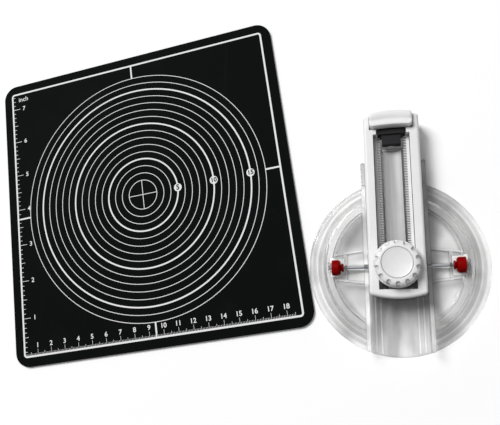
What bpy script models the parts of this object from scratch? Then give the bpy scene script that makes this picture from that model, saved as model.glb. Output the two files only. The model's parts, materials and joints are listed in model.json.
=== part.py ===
"""Circle cutter and its cutting mat, built as separate pieces.

A clear disc turns on a small centre foot. An arm with two combs slides across the disc and
carries a wheel blade under a press pad. A quarter turn of the scalloped knob drops a toothed
block into the combs. Lengths are metres, +Z is up and z = 0 is the table.
"""

import math

import bmesh
import bpy
from mathutils import Matrix, Vector

MM = 0.001

# Clearances
SEAT_GAP = 0.3 * MM
RUNNING_GAP = 0.4 * MM
BOOLEAN_OVERRUN = 3.0 * MM
JOIN_OVERLAP = 0.6 * MM
WELD_DISTANCE = 0.001 * MM
FLAT_DEGREES = 0.05
BEVEL_DEGREES = 20
SMOOTH_DEGREES = 30

# Cutting mat
MAT_SIDE = 203.0 * MM
MAT_THICKNESS = 2.0 * MM
MAT_CORNER_RADIUS = 10.0 * MM
MAT_EDGE_CHAMFER = 0.3 * MM
MAT_TURN_DEGREES = 8.0
MAT_CORNER_STEPS = 8
MAT_TO_DISC_GAP = 0.8 * MM
MAT_SHIFT_ALONG_EDGE = 75.0 * MM

# Centre foot
PAD_RADIUS = 11.0 * MM
PAD_THICKNESS = 0.8 * MM
FOOT_RADIUS = 11.5 * MM
FOOT_THICKNESS = 1.0 * MM
FOOT_STEM_RADIUS = 2.8 * MM
PIVOT_SHANK_RADIUS = 1.2 * MM
PIVOT_HEAD_RADIUS = 3.6 * MM
PIVOT_HEAD_HEIGHT = 1.0 * MM
PIVOT_HEAD_EDGE = 0.4 * MM

# Clear disc
DISC_RADIUS = 52.0 * MM
RIM_WIDTH = 2.6 * MM
RIM_THICKNESS = 1.4 * MM
RIM_LIFT = 0.6 * MM
RIM_STEP = 1.0 * MM
FLANGE_WIDTH = 6.8 * MM
FLANGE_RISE = 4.2 * MM
RING_WIDTH = 6.7 * MM
RING_TOP = 9.0 * MM
RING_GROOVE_DEPTH = 0.6 * MM
RING_GROOVE_WIDTH = 1.1 * MM
RING_GROOVE_PLACE_SHARE = 0.2
DISC_WALL = 1.6 * MM
WALL_LIFT = 0.9 * MM
PANE_THICKNESS = 1.2 * MM
PANE_STEPS = 24
EDGE_ROUND = 0.4 * MM
DISC_STEPS = 88

# Channel across the disc
CHANNEL_CLEARANCE = 0.3 * MM
GUIDE_WALL = 2.5 * MM
GUIDE_TOP = 11.5 * MM
GUIDE_BEYOND_DISC = 10.0 * MM
GUIDE_CHAMFER = 1.2 * MM
GUIDE_UNDERSIDE = 3.3 * MM
FLOOR_THICKNESS = 1.6 * MM
RAIL_HEIGHT = 0.6 * MM
RAIL_WIDTH = 1.0 * MM
RAIL_PLACES = (10.4 * MM, 13.5 * MM)
RAIL_END_MARGIN = 1.2 * MM
BLADE_SLOT_START = 12.8 * MM
EDGE_ARC_STEPS = 12

# Spokes
SPOKE_ROOT_HALF_WIDTH = 10.3 * MM
SPOKE_TIP_HALF_WIDTH = 8.0 * MM
SPOKE_PLATE = 1.6 * MM
SPOKE_RIB = 1.4 * MM
SPOKE_RIB_TOP = 8.0 * MM
BEARING_WALL = 1.5 * MM
BEARING_TOP = 7.5 * MM
BEARING_POST_HALF_WIDTH = 3.0 * MM

# Rollers
ROLLER_RADIUS = 4.6 * MM
ROLLER_SMALL_RADIUS = 3.5 * MM
ROLLER_WIDTH = 5.1 * MM
ROLLER_FROM_DISC_EDGE = 14.0 * MM
ROLLER_LIFT = 0.1 * MM
ROLLER_COLLAR_RADIUS = 2.5 * MM
ROLLER_COLLAR_WIDTH = 1.2 * MM
ROLLER_NECK = 0.6 * MM
ROLLER_NECK_RADIUS = 1.9 * MM
ROLLER_ROUND = 1.3 * MM
ROLLER_SIDE_ROOM = 1.0 * MM
ROLLER_END_ROOM = 0.7 * MM
ROLLER_STEPS = 24
AXLE_RADIUS = 1.0 * MM

# Sliding arm
ARM_WIDTH = 32.0 * MM
ARM_HEIGHT = 12.1 * MM
ARM_LENGTH = 110.0 * MM
ARM_BEYOND_KNOB = 5.8 * MM
ARM_EDGE_ROUND = 1.8 * MM
ARM_ROUND_STEPS = 3
NEAR_END_WALL = 5.0 * MM
SLOT_HALF_WIDTH = 8.5 * MM
LEDGE_WIDTH = 2.0 * MM
RIM_BEVEL = 0.5 * MM
STRIP_HALF_WIDTH = 5.5 * MM
STRIP_LIFT = 1.5 * MM
STRIP_THICKNESS = 1.6 * MM
STRIP_WEB_LENGTH = 2.0 * MM
LEDGE_ABOVE_STRIP = 0.5 * MM
WELL_WIDE_HALF_WIDTH = 8.6 * MM
WELL_NARROW_HALF_WIDTH = 6.9 * MM
PAD_RECESS_DEPTH = 5.0 * MM
FAR_END_WALL = 3.0 * MM
CORE_START = 12.0 * MM
CORE_WIDTH = 2.4 * MM
CORE_ROOF = 2.5 * MM
CORE_END_WALL = 6.0 * MM
CORE_TO_RECESS = 3.3 * MM
CORE_RIB = 1.2 * MM
CORES_PER_SIDE = 4

# Combs
RACK_PITCH = 1.0 * MM
RACK_THICKNESS = 2.5 * MM
RACK_TOOTH_DEPTH = 1.9 * MM
RACK_TOOTH_ROOT = 0.56 * MM
RACK_TOOTH_TIP = 0.36 * MM
RACK_NEAR_END = 9.0 * MM

# Press pad and blade holder
PRESS_TRAVEL = 2.9 * MM
PRESS_PAD_HALF_WIDTH = 12.3 * MM
PRESS_PAD_LENGTH = 10.4 * MM
PRESS_PAD_HEIGHT = 6.0 * MM
PRESS_PAD_ROUND = 1.2 * MM
PRESS_PAD_ROUND_STEPS = 3
PAD_BOSS_RADIUS = 1.6 * MM
PAD_BOSS_LENGTH = 2.6 * MM
PAD_BOSS_PLACE = 3.9 * MM
HOLDER_HEIGHT = 9.4 * MM
HOLDER_NECK_HALF_WIDTH = 5.5 * MM
HOLDER_NECK_LENGTH = 6.0 * MM
HOLDER_NECK_HEIGHT = 5.4 * MM
HOLDER_HEAD_LENGTH = 3.9 * MM
HOLDER_CREST = 1.2 * MM
BLADE_RADIUS = 6.0 * MM
BLADE_THICKNESS = 0.4 * MM
BLADE_BEVEL = 0.9 * MM
BLADE_LIFT = 2.6 * MM
BLADE_BEHIND_HOLDER_FACE = 2.1 * MM
BLADE_SIDE_GAP = 0.3 * MM
BLADE_STEPS = 32
BLADE_AXLE_RADIUS = 1.0 * MM
BLADE_AXLE_HEAD_RADIUS = 1.8 * MM
BLADE_AXLE_HEAD = 0.7 * MM
BLADE_AXLE_DEPTH = 5.0 * MM
PAD_SCREW_RADIUS = 0.7 * MM
PAD_SCREW_HEAD_RADIUS = 1.5 * MM
PAD_SCREW_HEAD = 1.0 * MM

# Return springs
SPRING_RADIUS = 1.1 * MM
SPRING_WIRE_RADIUS = 0.22 * MM
SPRING_TURNS = 5
SPRING_POINTS_PER_TURN = 8
SPRING_POCKET_DEPTH = 5.3 * MM
SPRING_PLACE = 9.6 * MM
SPRING_FROM_FAR_END = 5.6 * MM

# Knob
KNOB_RADIUS = 12.8 * MM
KNOB_HEIGHT = 7.1 * MM
KNOB_SHOULDER = 2.4 * MM
KNOB_FLUTES = 14
FLUTE_RADIUS = 1.25 * MM
FLUTE_STEPS = 10
KNOB_STEPS_PER_FLUTE = 3
SKIRT_RADIUS = 13.2 * MM
SKIRT_THICKNESS = 1.2 * MM
SKIRT_HUB_RADIUS = 4.2 * MM
SKIRT_BEVEL = 0.3 * MM
CAP_RADIUS = 8.5 * MM
CAP_THICKNESS = 1.4 * MM
CAP_DISH_DEPTH = 0.8 * MM
CAP_LIP = 0.4 * MM
CAP_DISH_RINGS = 3
WASHER_RADIUS = 4.5 * MM
WASHER_THICKNESS = 0.6 * MM

# Yoke round the floor strip
YOKE_LEG = 0.5 * MM
YOKE_LEG_HALF_LENGTH = 3.0 * MM
YOKE_BASE_HALF_LENGTH = 8.4 * MM
YOKE_BASE_THICKNESS = 0.6 * MM
BRIDGE_THICKNESS = 0.8 * MM
BRIDGE_HALF_WIDTH = 7.8 * MM
BRIDGE_HALF_LENGTH = 4.6 * MM
YOKE_SCREW_PLACE = 6.4 * MM
YOKE_SCREW_RADIUS = 0.9 * MM
YOKE_SCREW_HEAD_RADIUS = 1.6 * MM
YOKE_SCREW_HEAD = 0.7 * MM

# Clamp block
CLAMP_TRAVEL = 2.0 * MM
CLAMP_BODY_HALF_WIDTH = 5.3 * MM
CLAMP_HALF_LENGTH = 7.0 * MM
CLAMP_HEADROOM = 0.6 * MM
CLAMP_WING_THICKNESS = 1.4 * MM
CLAMP_WING_START = 3.5 * MM
CLAMP_TOOTH_ROOT = 0.34 * MM
CLAMP_TOOTH_TIP = 0.22 * MM
CLAMP_TEETH_PER_WING = 3
STUD_RADIUS = 1.5 * MM
STUD_LENGTH = 9.0 * MM
STUD_SEAT = 1.2 * MM
CROSS_PIN_RADIUS = 0.6 * MM
CROSS_PIN_HALF_LENGTH = 3.2 * MM
CROSS_PIN_BELOW_TOP = 1.1 * MM

LARGE_ROUND_STEPS = 40
ROUND_STEPS = 20
SMALL_ROUND_STEPS = 12
CORNER_STEPS = 2

# Shares of the roller's swell, along it and outward, from its small end to its full radius
ROLLER_SWELL_SHARES = ((0.0, 0.0), (0.4, 0.6), (1.0, 1.0))

# Shares of the knob's shoulder, inward and below its top, from its side to its crown
KNOB_SHOULDER_SHARES = ((0.0, 1.0), (0.3, 0.45), (0.8, 0.12))

# Shares of the press pad's length and height, from its front face to the arm's end
PAD_TOP_SHARES = (
    (0.00, 0.78),
    (0.02, 0.90),
    (0.10, 0.98),
    (0.22, 0.97),
    (0.34, 0.84),
    (0.44, 0.83),
    (0.58, 0.92),
    (0.78, 0.95),
    (0.92, 0.88),
    (1.00, 0.72),
    (1.30, 0.40),
)

# Heights worked out from the stack that stands on the table
FOOT_BOTTOM = PAD_THICKNESS + SEAT_GAP
FOOT_TOP = FOOT_BOTTOM + FOOT_THICKNESS
FLOOR_BOTTOM = FOOT_TOP + SEAT_GAP
FLOOR_TOP = FLOOR_BOTTOM + FLOOR_THICKNESS
RAIL_TOP = FLOOR_TOP + RAIL_HEIGHT
ARM_BOTTOM = RAIL_TOP + SEAT_GAP
ARM_TOP = ARM_BOTTOM + ARM_HEIGHT
STRIP_BOTTOM = ARM_BOTTOM + STRIP_LIFT
STRIP_TOP = STRIP_BOTTOM + STRIP_THICKNESS
LEDGE_TOP = STRIP_TOP + LEDGE_ABOVE_STRIP
RACK_BOTTOM = LEDGE_TOP + SEAT_GAP
RACK_TOP = RACK_BOTTOM + RACK_THICKNESS
WASHER_TOP = ARM_TOP - SEAT_GAP
WASHER_BOTTOM = WASHER_TOP - WASHER_THICKNESS
BRIDGE_TOP = WASHER_BOTTOM - SEAT_GAP
BRIDGE_BOTTOM = BRIDGE_TOP - BRIDGE_THICKNESS
YOKE_BASE_BOTTOM = FLOOR_TOP + SEAT_GAP
YOKE_BASE_TOP = YOKE_BASE_BOTTOM + YOKE_BASE_THICKNESS
CLAMP_BOTTOM = STRIP_TOP + SEAT_GAP + CLAMP_TRAVEL
CLAMP_TOP = BRIDGE_BOTTOM - CLAMP_HEADROOM
WING_BOTTOM = RACK_TOP + SEAT_GAP
WING_TOP = WING_BOTTOM + CLAMP_WING_THICKNESS
SKIRT_BOTTOM = ARM_TOP + RUNNING_GAP
SKIRT_TOP = SKIRT_BOTTOM + SKIRT_THICKNESS
KNOB_BOTTOM = SKIRT_TOP + SEAT_GAP
KNOB_TOP = KNOB_BOTTOM + KNOB_HEIGHT
STUD_BOTTOM = CLAMP_TOP - STUD_SEAT
STUD_TOP = CLAMP_TOP + STUD_LENGTH
ROLLER_HEIGHT = ROLLER_RADIUS + ROLLER_LIFT
BLADE_HEIGHT = BLADE_RADIUS + BLADE_LIFT
RECESS_BOTTOM = ARM_TOP - PAD_RECESS_DEPTH
PRESS_PAD_BOTTOM = RECESS_BOTTOM + SEAT_GAP + PRESS_TRAVEL
PRESS_PAD_TOP = PRESS_PAD_BOTTOM + PRESS_PAD_HEIGHT
HOLDER_TOP = PRESS_PAD_BOTTOM - SEAT_GAP
HOLDER_BOTTOM = HOLDER_TOP - HOLDER_HEIGHT

# Places along and across the cutter, from its axis
CHANNEL_HALF_WIDTH = ARM_WIDTH / 2 + CHANNEL_CLEARANCE
CHANNEL_OUTSIDE = CHANNEL_HALF_WIDTH + GUIDE_WALL
WALL_MIDDLE = CHANNEL_HALF_WIDTH + GUIDE_WALL / 2
GUIDE_REACH = DISC_RADIUS + GUIDE_BEYOND_DISC
ROLLER_FACE_RADIUS_ON_DISC = DISC_RADIUS - ROLLER_FROM_DISC_EDGE
RING_OUTER = DISC_RADIUS - RIM_WIDTH - FLANGE_WIDTH
RING_INNER = RING_OUTER - RING_WIDTH
ARM_NEAR_END = -SKIRT_RADIUS - ARM_BEYOND_KNOB
ARM_REACH = ARM_NEAR_END + ARM_LENGTH
SLOT_NEAR_END = ARM_NEAR_END + NEAR_END_WALL
PAD_FRONT = ARM_REACH - PRESS_PAD_LENGTH
RECESS_FRONT = PAD_FRONT - SEAT_GAP
CORE_NEAR_END = ARM_NEAR_END + CORE_END_WALL
CORE_FAR_END = RECESS_FRONT - CORE_TO_RECESS
WELL_FAR_END = ARM_REACH - FAR_END_WALL
HOLDER_FAR_END = WELL_FAR_END - RUNNING_GAP
HOLDER_FACE = PAD_FRONT - HOLDER_HEAD_LENGTH + SEAT_GAP * 2
HOLDER_HEAD_END = PAD_FRONT + SEAT_GAP * 2
HOLDER_NECK_START = HOLDER_FACE - HOLDER_NECK_LENGTH
WELL_START = HOLDER_NECK_START - SEAT_GAP
WELL_STEP = HOLDER_HEAD_END + SEAT_GAP
RACK_FAR_END = HOLDER_FACE - SEAT_GAP
RACK_BACK = SLOT_HALF_WIDTH + LEDGE_WIDTH - SEAT_GAP
RACK_TIP = SLOT_HALF_WIDTH - RACK_TOOTH_DEPTH
YOKE_INSIDE = STRIP_HALF_WIDTH + SEAT_GAP
YOKE_OUTSIDE = YOKE_INSIDE + YOKE_LEG
BLADE_PLACE = HOLDER_FACE + BLADE_BEHIND_HOLDER_FACE
BOSS_Y = PAD_FRONT + PAD_BOSS_PLACE
SPRING_Y = ARM_REACH - SPRING_FROM_FAR_END


def clear_scene():
    for item in list(bpy.data.objects):
        bpy.data.objects.remove(item)


def material(name, color, roughness, metallic=0.0, transmission=0.0):
    made = bpy.data.materials.new(name)
    made.use_nodes = True
    shader = made.node_tree.nodes["Principled BSDF"]
    shader.inputs["Base Color"].default_value = (*color, 1.0)
    shader.inputs["Roughness"].default_value = roughness
    shader.inputs["Metallic"].default_value = metallic
    shader.inputs["Transmission Weight"].default_value = transmission
    made.diffuse_color = (*color, 1.0)
    return made


def object_from(shape, name):
    """Turns a bmesh into an object with its faces pointing out."""
    bmesh.ops.remove_doubles(shape, verts=shape.verts, dist=WELD_DISTANCE)
    bmesh.ops.recalc_face_normals(shape, faces=shape.faces)
    mesh = bpy.data.meshes.new(name)
    shape.to_mesh(mesh)
    shape.free()
    made = bpy.data.objects.new(name, mesh)
    bpy.context.scene.collection.objects.link(made)
    return made


def sweep(name, outline, start, end, along="Z"):
    """Closed body swept straight from a flat outline, along one axis."""
    places = {
        "X": lambda u, v: (start, u, v),
        "Y": lambda u, v: (u, start, v),
        "Z": lambda u, v: (u, v, start),
    }
    shape = bmesh.new()
    corners = [shape.verts.new(places[along](u, v)) for u, v in outline]
    face = shape.faces.new(corners)
    grown = bmesh.ops.extrude_face_region(shape, geom=[face])
    moved = [item for item in grown["geom"] if isinstance(item, bmesh.types.BMVert)]
    step = {"X": Vector((1, 0, 0)), "Y": Vector((0, 1, 0)), "Z": Vector((0, 0, 1))}[along]
    bmesh.ops.translate(shape, verts=moved, vec=step * (end - start))
    return object_from(shape, name)


def box(name, low, high):
    corners = [(low[0], low[1]), (high[0], low[1]), (high[0], high[1]), (low[0], high[1])]
    return sweep(name, corners, low[2], high[2])


def turned(name, profile, steps, along="Z", closed=False):
    """Body turned about an axis from (radius, place) points, by spinning the profile's edges."""
    shape = bmesh.new()
    corners = [shape.verts.new((radius, 0, place)) for radius, place in profile]
    ends = list(zip(corners, corners[1:] + corners[:1]))
    for first, second in ends if closed else ends[:-1]:
        shape.edges.new((first, second))
    bmesh.ops.spin(
        shape,
        geom=shape.verts[:] + shape.edges[:],
        cent=(0, 0, 0),
        axis=(0, 0, 1),
        angle=math.tau,
        steps=steps,
        use_merge=True,
    )
    if along == "X":
        bmesh.ops.rotate(shape, verts=shape.verts, matrix=Matrix.Rotation(math.pi / 2, 3, "Y"))
    if along == "Y":
        bmesh.ops.rotate(shape, verts=shape.verts, matrix=Matrix.Rotation(-math.pi / 2, 3, "X"))
    return object_from(shape, name)


def rod(name, radius, start, end, steps=ROUND_STEPS, along="Z"):
    return turned(name, [(0, start), (radius, start), (radius, end), (0, end)], steps, along)


def stepped_rod(name, parts, end, along="Z"):
    """Solid of round lengths in a row, from the radius and start of each."""
    profile = [(0, parts[0][1])]
    stops = [start for _, start in parts[1:]] + [end]
    for (radius, start), stop in zip(parts, stops):
        profile += [(radius, start), (radius, stop)]
    return turned(name, profile + [(0, end)], SMALL_ROUND_STEPS, along)


def moved(item, x=0.0, y=0.0, z=0.0):
    item.data.transform(Matrix.Translation((x, y, z)))
    return item


def combine(target, tool, operation):
    """Applies one exact Boolean to the target's mesh and removes the tool."""
    step = target.modifiers.new("step", "BOOLEAN")
    step.operation = operation
    step.solver = "EXACT"
    step.object = tool
    graph = bpy.context.evaluated_depsgraph_get()
    result = bpy.data.meshes.new_from_object(target.evaluated_get(graph))
    target.modifiers.clear()
    spent = [target.data, tool.data]
    target.data = result
    result.name = target.name
    bpy.data.objects.remove(tool)
    for mesh in spent:
        bpy.data.meshes.remove(mesh)
    return target


def cut(target, *tools):
    for tool in tools:
        combine(target, tool, "DIFFERENCE")
    return target


def joined(target, *tools):
    for tool in tools:
        combine(target, tool, "UNION")
    return target


def simplified(item):
    """Welds stray points that a Boolean leaves and merges faces that lie in one plane."""
    shape = bmesh.new()
    shape.from_mesh(item.data)
    bmesh.ops.remove_doubles(shape, verts=shape.verts, dist=WELD_DISTANCE)
    bmesh.ops.dissolve_degenerate(shape, edges=shape.edges, dist=WELD_DISTANCE)
    bmesh.ops.dissolve_limit(
        shape,
        angle_limit=math.radians(FLAT_DEGREES),
        verts=shape.verts,
        edges=shape.edges,
    )
    shape.to_mesh(item.data)
    shape.free()
    return item


def rounded(item, width, steps, chosen):
    """Bevels the edges that the test picks by their two end points and face angle."""
    shape = bmesh.new()
    shape.from_mesh(item.data)
    edges = [
        edge
        for edge in shape.edges
        if edge.calc_face_angle(0) > math.radians(BEVEL_DEGREES)
        and chosen(edge.verts[0].co, edge.verts[1].co)
    ]
    bmesh.ops.bevel(
        shape,
        geom=edges,
        offset=width,
        segments=steps,
        affect="EDGES",
        clamp_overlap=True,
    )
    shape.to_mesh(item.data)
    shape.free()
    return item


def place_of(parent):
    return Vector(parent["place_on_cutter"]) if parent else Vector()


def finish(item, look, parent=None, origin=(0, 0, 0)):
    """Gives a piece its origin, parent and material, and shades its round faces smooth."""
    item.data.transform(Matrix.Translation(-Vector(origin)))
    item.data.materials.clear()
    item.data.materials.append(look)
    item.data.shade_smooth()
    item.data.set_sharp_from_angle(angle=math.radians(SMOOTH_DEGREES))
    item.parent = parent
    item.location = Vector(origin) - place_of(parent)
    return item


def axis_empty(name, place, parent):
    """An empty on a joint's axis, at a place on the cutter."""
    empty = bpy.data.objects.new(name, None)
    bpy.context.scene.collection.objects.link(empty)
    empty["place_on_cutter"] = place
    empty.empty_display_size = AXLE_RADIUS
    empty.parent = parent
    empty.location = Vector(place) - place_of(parent)
    return empty


def arc_points(radius, first_x, last_x, side, steps):
    """Points on a circle about the cutter's axis, from one x to another, on the +Y or -Y side."""
    points = []
    for step in range(steps + 1):
        x = first_x + (last_x - first_x) * step / steps
        points.append((x, side * math.sqrt(radius**2 - x**2)))
    return points


def mat_outline():
    """Square with round corners, turned about its centre."""
    reach = MAT_SIDE / 2 - MAT_CORNER_RADIUS
    turn = math.radians(MAT_TURN_DEGREES)
    points = []
    for corner in range(4):
        middle = math.pi / 4 + corner * math.pi / 2
        centre_x = math.copysign(reach, math.cos(middle))
        centre_y = math.copysign(reach, math.sin(middle))
        for step in range(MAT_CORNER_STEPS + 1):
            angle = corner * math.pi / 2 + step / MAT_CORNER_STEPS * math.pi / 2
            x = centre_x + MAT_CORNER_RADIUS * math.cos(angle)
            y = centre_y + MAT_CORNER_RADIUS * math.sin(angle)
            points.append(
                (x * math.cos(turn) - y * math.sin(turn), x * math.sin(turn) + y * math.cos(turn))
            )
    return points


def layout():
    """Places of the mat's centre and the cutter's axis, with the whole set's box centred on zero."""
    turn = math.radians(MAT_TURN_DEGREES)
    away = MAT_SIDE / 2 + MAT_TO_DISC_GAP + DISC_RADIUS
    axis_x = away * math.cos(turn) + MAT_SHIFT_ALONG_EDGE * math.sin(turn)
    axis_y = away * math.sin(turn) - MAT_SHIFT_ALONG_EDGE * math.cos(turn)
    outline = mat_outline()
    low_x = min(x for x, _ in outline)
    high_x = axis_x + DISC_RADIUS
    low_y = min(min(y for _, y in outline), axis_y - DISC_RADIUS)
    high_y = max(max(y for _, y in outline), axis_y + ARM_REACH)
    middle_x = (low_x + high_x) / 2
    middle_y = (low_y + high_y) / 2
    return (-middle_x, -middle_y, 0), (axis_x - middle_x, axis_y - middle_y, 0)


def make_mat(place, look):
    mat = sweep("cutting_mat", mat_outline(), 0, MAT_THICKNESS)
    mat = rounded(mat, MAT_EDGE_CHAMFER, 1, lambda a, b: a.z == b.z and a.z > 0)
    finish(mat, look)
    mat.location = place


def make_pivot(base, looks):
    finish(rod("pivot_pad", PAD_RADIUS, 0, PAD_THICKNESS, LARGE_ROUND_STEPS), looks["pad"], base)
    stem_top = FLOOR_TOP + SEAT_GAP / 2
    bore_bottom = FOOT_TOP - FOOT_THICKNESS / 2
    foot = turned(
        "pivot_foot",
        [
            (0, FOOT_BOTTOM),
            (FOOT_RADIUS, FOOT_BOTTOM),
            (FOOT_RADIUS, FOOT_TOP),
            (FOOT_STEM_RADIUS, FOOT_TOP),
            (FOOT_STEM_RADIUS, stem_top),
            (PIVOT_SHANK_RADIUS + SEAT_GAP, stem_top),
            (PIVOT_SHANK_RADIUS + SEAT_GAP, bore_bottom),
            (0, bore_bottom),
        ],
        LARGE_ROUND_STEPS,
    )
    finish(foot, looks["foot"], base)
    head_bottom = stem_top + SEAT_GAP
    head_top = head_bottom + PIVOT_HEAD_HEIGHT
    screw = turned(
        "pivot_screw",
        [
            (0, bore_bottom + SEAT_GAP),
            (PIVOT_SHANK_RADIUS, bore_bottom + SEAT_GAP),
            (PIVOT_SHANK_RADIUS, head_bottom),
            (PIVOT_HEAD_RADIUS, head_bottom),
            (PIVOT_HEAD_RADIUS, head_top - PIVOT_HEAD_EDGE),
            (PIVOT_HEAD_RADIUS - PIVOT_HEAD_EDGE, head_top),
            (0, head_top),
        ],
        ROUND_STEPS,
    )
    finish(screw, looks["steel"], base)


def disc_ring():
    """The turned part of the disc: thin rim, sloped flange and raised ring, open underneath."""
    flange_outer = DISC_RADIUS - RIM_WIDTH
    rim_top = RIM_LIFT + RIM_THICKNESS
    flange_foot = rim_top + RIM_STEP
    flange_top = flange_foot + FLANGE_RISE
    groove_middle = RING_INNER + RING_WIDTH * RING_GROOVE_PLACE_SHARE
    groove_outer = groove_middle + RING_GROOVE_WIDTH / 2
    groove_inner = groove_outer - RING_GROOVE_WIDTH
    under_ring = RING_TOP - DISC_WALL
    profile = [
        (DISC_RADIUS, RIM_LIFT),
        (DISC_RADIUS, rim_top),
        (flange_outer + EDGE_ROUND, rim_top),
        (flange_outer, flange_foot),
        (RING_OUTER, flange_top),
        (RING_OUTER - EDGE_ROUND, RING_TOP - EDGE_ROUND),
        (RING_OUTER - EDGE_ROUND * 2, RING_TOP),
        (groove_outer + RING_GROOVE_DEPTH / 2, RING_TOP),
        (groove_outer, RING_TOP - RING_GROOVE_DEPTH),
        (groove_inner, RING_TOP - RING_GROOVE_DEPTH),
        (groove_inner - RING_GROOVE_DEPTH / 2, RING_TOP),
        (RING_INNER + EDGE_ROUND, RING_TOP),
        (RING_INNER, RING_TOP - EDGE_ROUND),
        (RING_INNER, WALL_LIFT),
        (RING_INNER + DISC_WALL, WALL_LIFT),
        (RING_INNER + DISC_WALL, under_ring),
        (RING_OUTER - DISC_WALL, under_ring),
        (RING_OUTER - DISC_WALL / 2, flange_top - DISC_WALL),
        (flange_outer - DISC_WALL, flange_foot - DISC_WALL),
        (flange_outer - DISC_WALL / 2, RIM_LIFT),
    ]
    return turned("turntable_disc", profile, DISC_STEPS, closed=True)


def guide_wall(side):
    """One side wall of the channel, from the disc's near edge to past its far edge."""
    inner = CHANNEL_HALF_WIDTH
    outer = CHANNEL_OUTSIDE
    near_inner = -math.sqrt(DISC_RADIUS**2 - inner**2)
    near_outer = -math.sqrt(DISC_RADIUS**2 - outer**2)
    outline = [
        (side * inner, near_inner),
        (side * outer, near_outer),
        (side * outer, GUIDE_REACH - GUIDE_CHAMFER),
        (side * (outer - GUIDE_CHAMFER), GUIDE_REACH),
        (side * inner, GUIDE_REACH),
    ]
    wall = sweep("guide_wall", outline, WALL_LIFT, GUIDE_TOP)
    undercut = box(
        "undercut",
        (-DISC_RADIUS, -near_inner, -BOOLEAN_OVERRUN),
        (DISC_RADIUS, GUIDE_REACH + BOOLEAN_OVERRUN, GUIDE_UNDERSIDE),
    )
    return cut(wall, undercut)


def channel_floor():
    """The floor plate that runs flush to the disc's edge, open in front for the blade."""
    half = WALL_MIDDLE
    outline = arc_points(DISC_RADIUS, -half, half, -1, EDGE_ARC_STEPS)
    outline += arc_points(DISC_RADIUS, half, -half, 1, EDGE_ARC_STEPS)
    floor = sweep("floor", outline, FLOOR_BOTTOM, FLOOR_TOP)
    for place in RAIL_PLACES:
        for side in (-1, 1):
            end = math.sqrt(DISC_RADIUS**2 - place**2) - RAIL_END_MARGIN
            low = (side * place - RAIL_WIDTH / 2, -end, FLOOR_TOP - JOIN_OVERLAP)
            high = (side * place + RAIL_WIDTH / 2, end, RAIL_TOP)
            joined(floor, box("rail", low, high))
    slot_half = WELL_WIDE_HALF_WIDTH
    slot = box(
        "blade_slot",
        (-slot_half, BLADE_SLOT_START, -BOOLEAN_OVERRUN),
        (slot_half, DISC_RADIUS + BOOLEAN_OVERRUN, GUIDE_TOP),
    )
    return cut(floor, slot)


def ring_reach(y):
    """How far out a spoke runs at this y to end in the middle of the ring's inner wall."""
    return math.sqrt((RING_INNER + DISC_WALL / 2) ** 2 - y**2)


def spoke(side):
    """Tapered tray with raised edge ribs and the two walls that carry the roller's axle."""
    root = SPOKE_ROOT_HALF_WIDTH
    tip = SPOKE_TIP_HALF_WIDTH
    inner_tip = tip - SPOKE_RIB
    inner_root = root - SPOKE_RIB
    start = side * WALL_MIDDLE
    tip_x = side * ring_reach(tip)
    plate = sweep(
        "spoke",
        [(start, -root), (tip_x, -tip), (tip_x, tip), (start, root)],
        WALL_LIFT,
        WALL_LIFT + SPOKE_PLATE,
    )
    for turn in (-1, 1):
        outline = [(start, turn * root), (tip_x, turn * tip)]
        outline += [(tip_x, turn * inner_tip), (start, turn * inner_root)]
        joined(plate, sweep("spoke_rib", outline, WALL_LIFT, SPOKE_RIB_TOP))
    pocket_in, _ = pocket_ends()
    wall_ends = sorted((side * (pocket_in - BEARING_WALL), side * (pocket_in + JOIN_OVERLAP)))
    along_share = (pocket_in - WALL_MIDDLE) / (ring_reach(tip) - WALL_MIDDLE)
    half = root + (tip - root) * along_share - SPOKE_RIB / 2
    cross = box("cross_wall", (wall_ends[0], -half, WALL_LIFT), (wall_ends[1], half, BEARING_TOP))
    return joined(plate, cross)


def pane(side):
    """Thin clear web that closes the windows between the channel, the spoke and the ring."""
    radius = RING_INNER + DISC_WALL / 2
    half_angle = math.acos(WALL_MIDDLE / radius)
    outline = []
    for step in range(PANE_STEPS + 1):
        angle = half_angle * (step * 2 / PANE_STEPS - 1)
        outline.append((side * radius * math.cos(angle), radius * math.sin(angle)))
    return sweep("pane", outline, WALL_LIFT, WALL_LIFT + PANE_THICKNESS)


def pocket_ends():
    """Inner and outer end of the pocket that a roller stands in."""
    barrel_in = ROLLER_FACE_RADIUS_ON_DISC - ROLLER_WIDTH
    collar_in = barrel_in - ROLLER_NECK - ROLLER_COLLAR_WIDTH
    return collar_in - ROLLER_END_ROOM, ROLLER_FACE_RADIUS_ON_DISC + ROLLER_END_ROOM


def bearing_post(side):
    """Post under the ring that carries the axle's outer end."""
    _, pocket_out = pocket_ends()
    ends = sorted((side * (pocket_out - JOIN_OVERLAP), side * (pocket_out + BEARING_WALL)))
    half = BEARING_POST_HALF_WIDTH
    return box("post", (ends[0], -half, WALL_LIFT), (ends[1], half, RING_TOP - DISC_WALL / 2))


def roller_pocket(side):
    ends = sorted(side * end for end in pocket_ends())
    half = ROLLER_RADIUS + ROLLER_SIDE_ROOM
    top = RING_TOP + BOOLEAN_OVERRUN
    return box("pocket", (ends[0], -half, -BOOLEAN_OVERRUN), (ends[1], half, top))


def axle_ends():
    _, pocket_out = pocket_ends()
    inner = WALL_MIDDLE - GUIDE_WALL / 4
    return inner + SEAT_GAP, pocket_out + BEARING_WALL - SEAT_GAP


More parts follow.
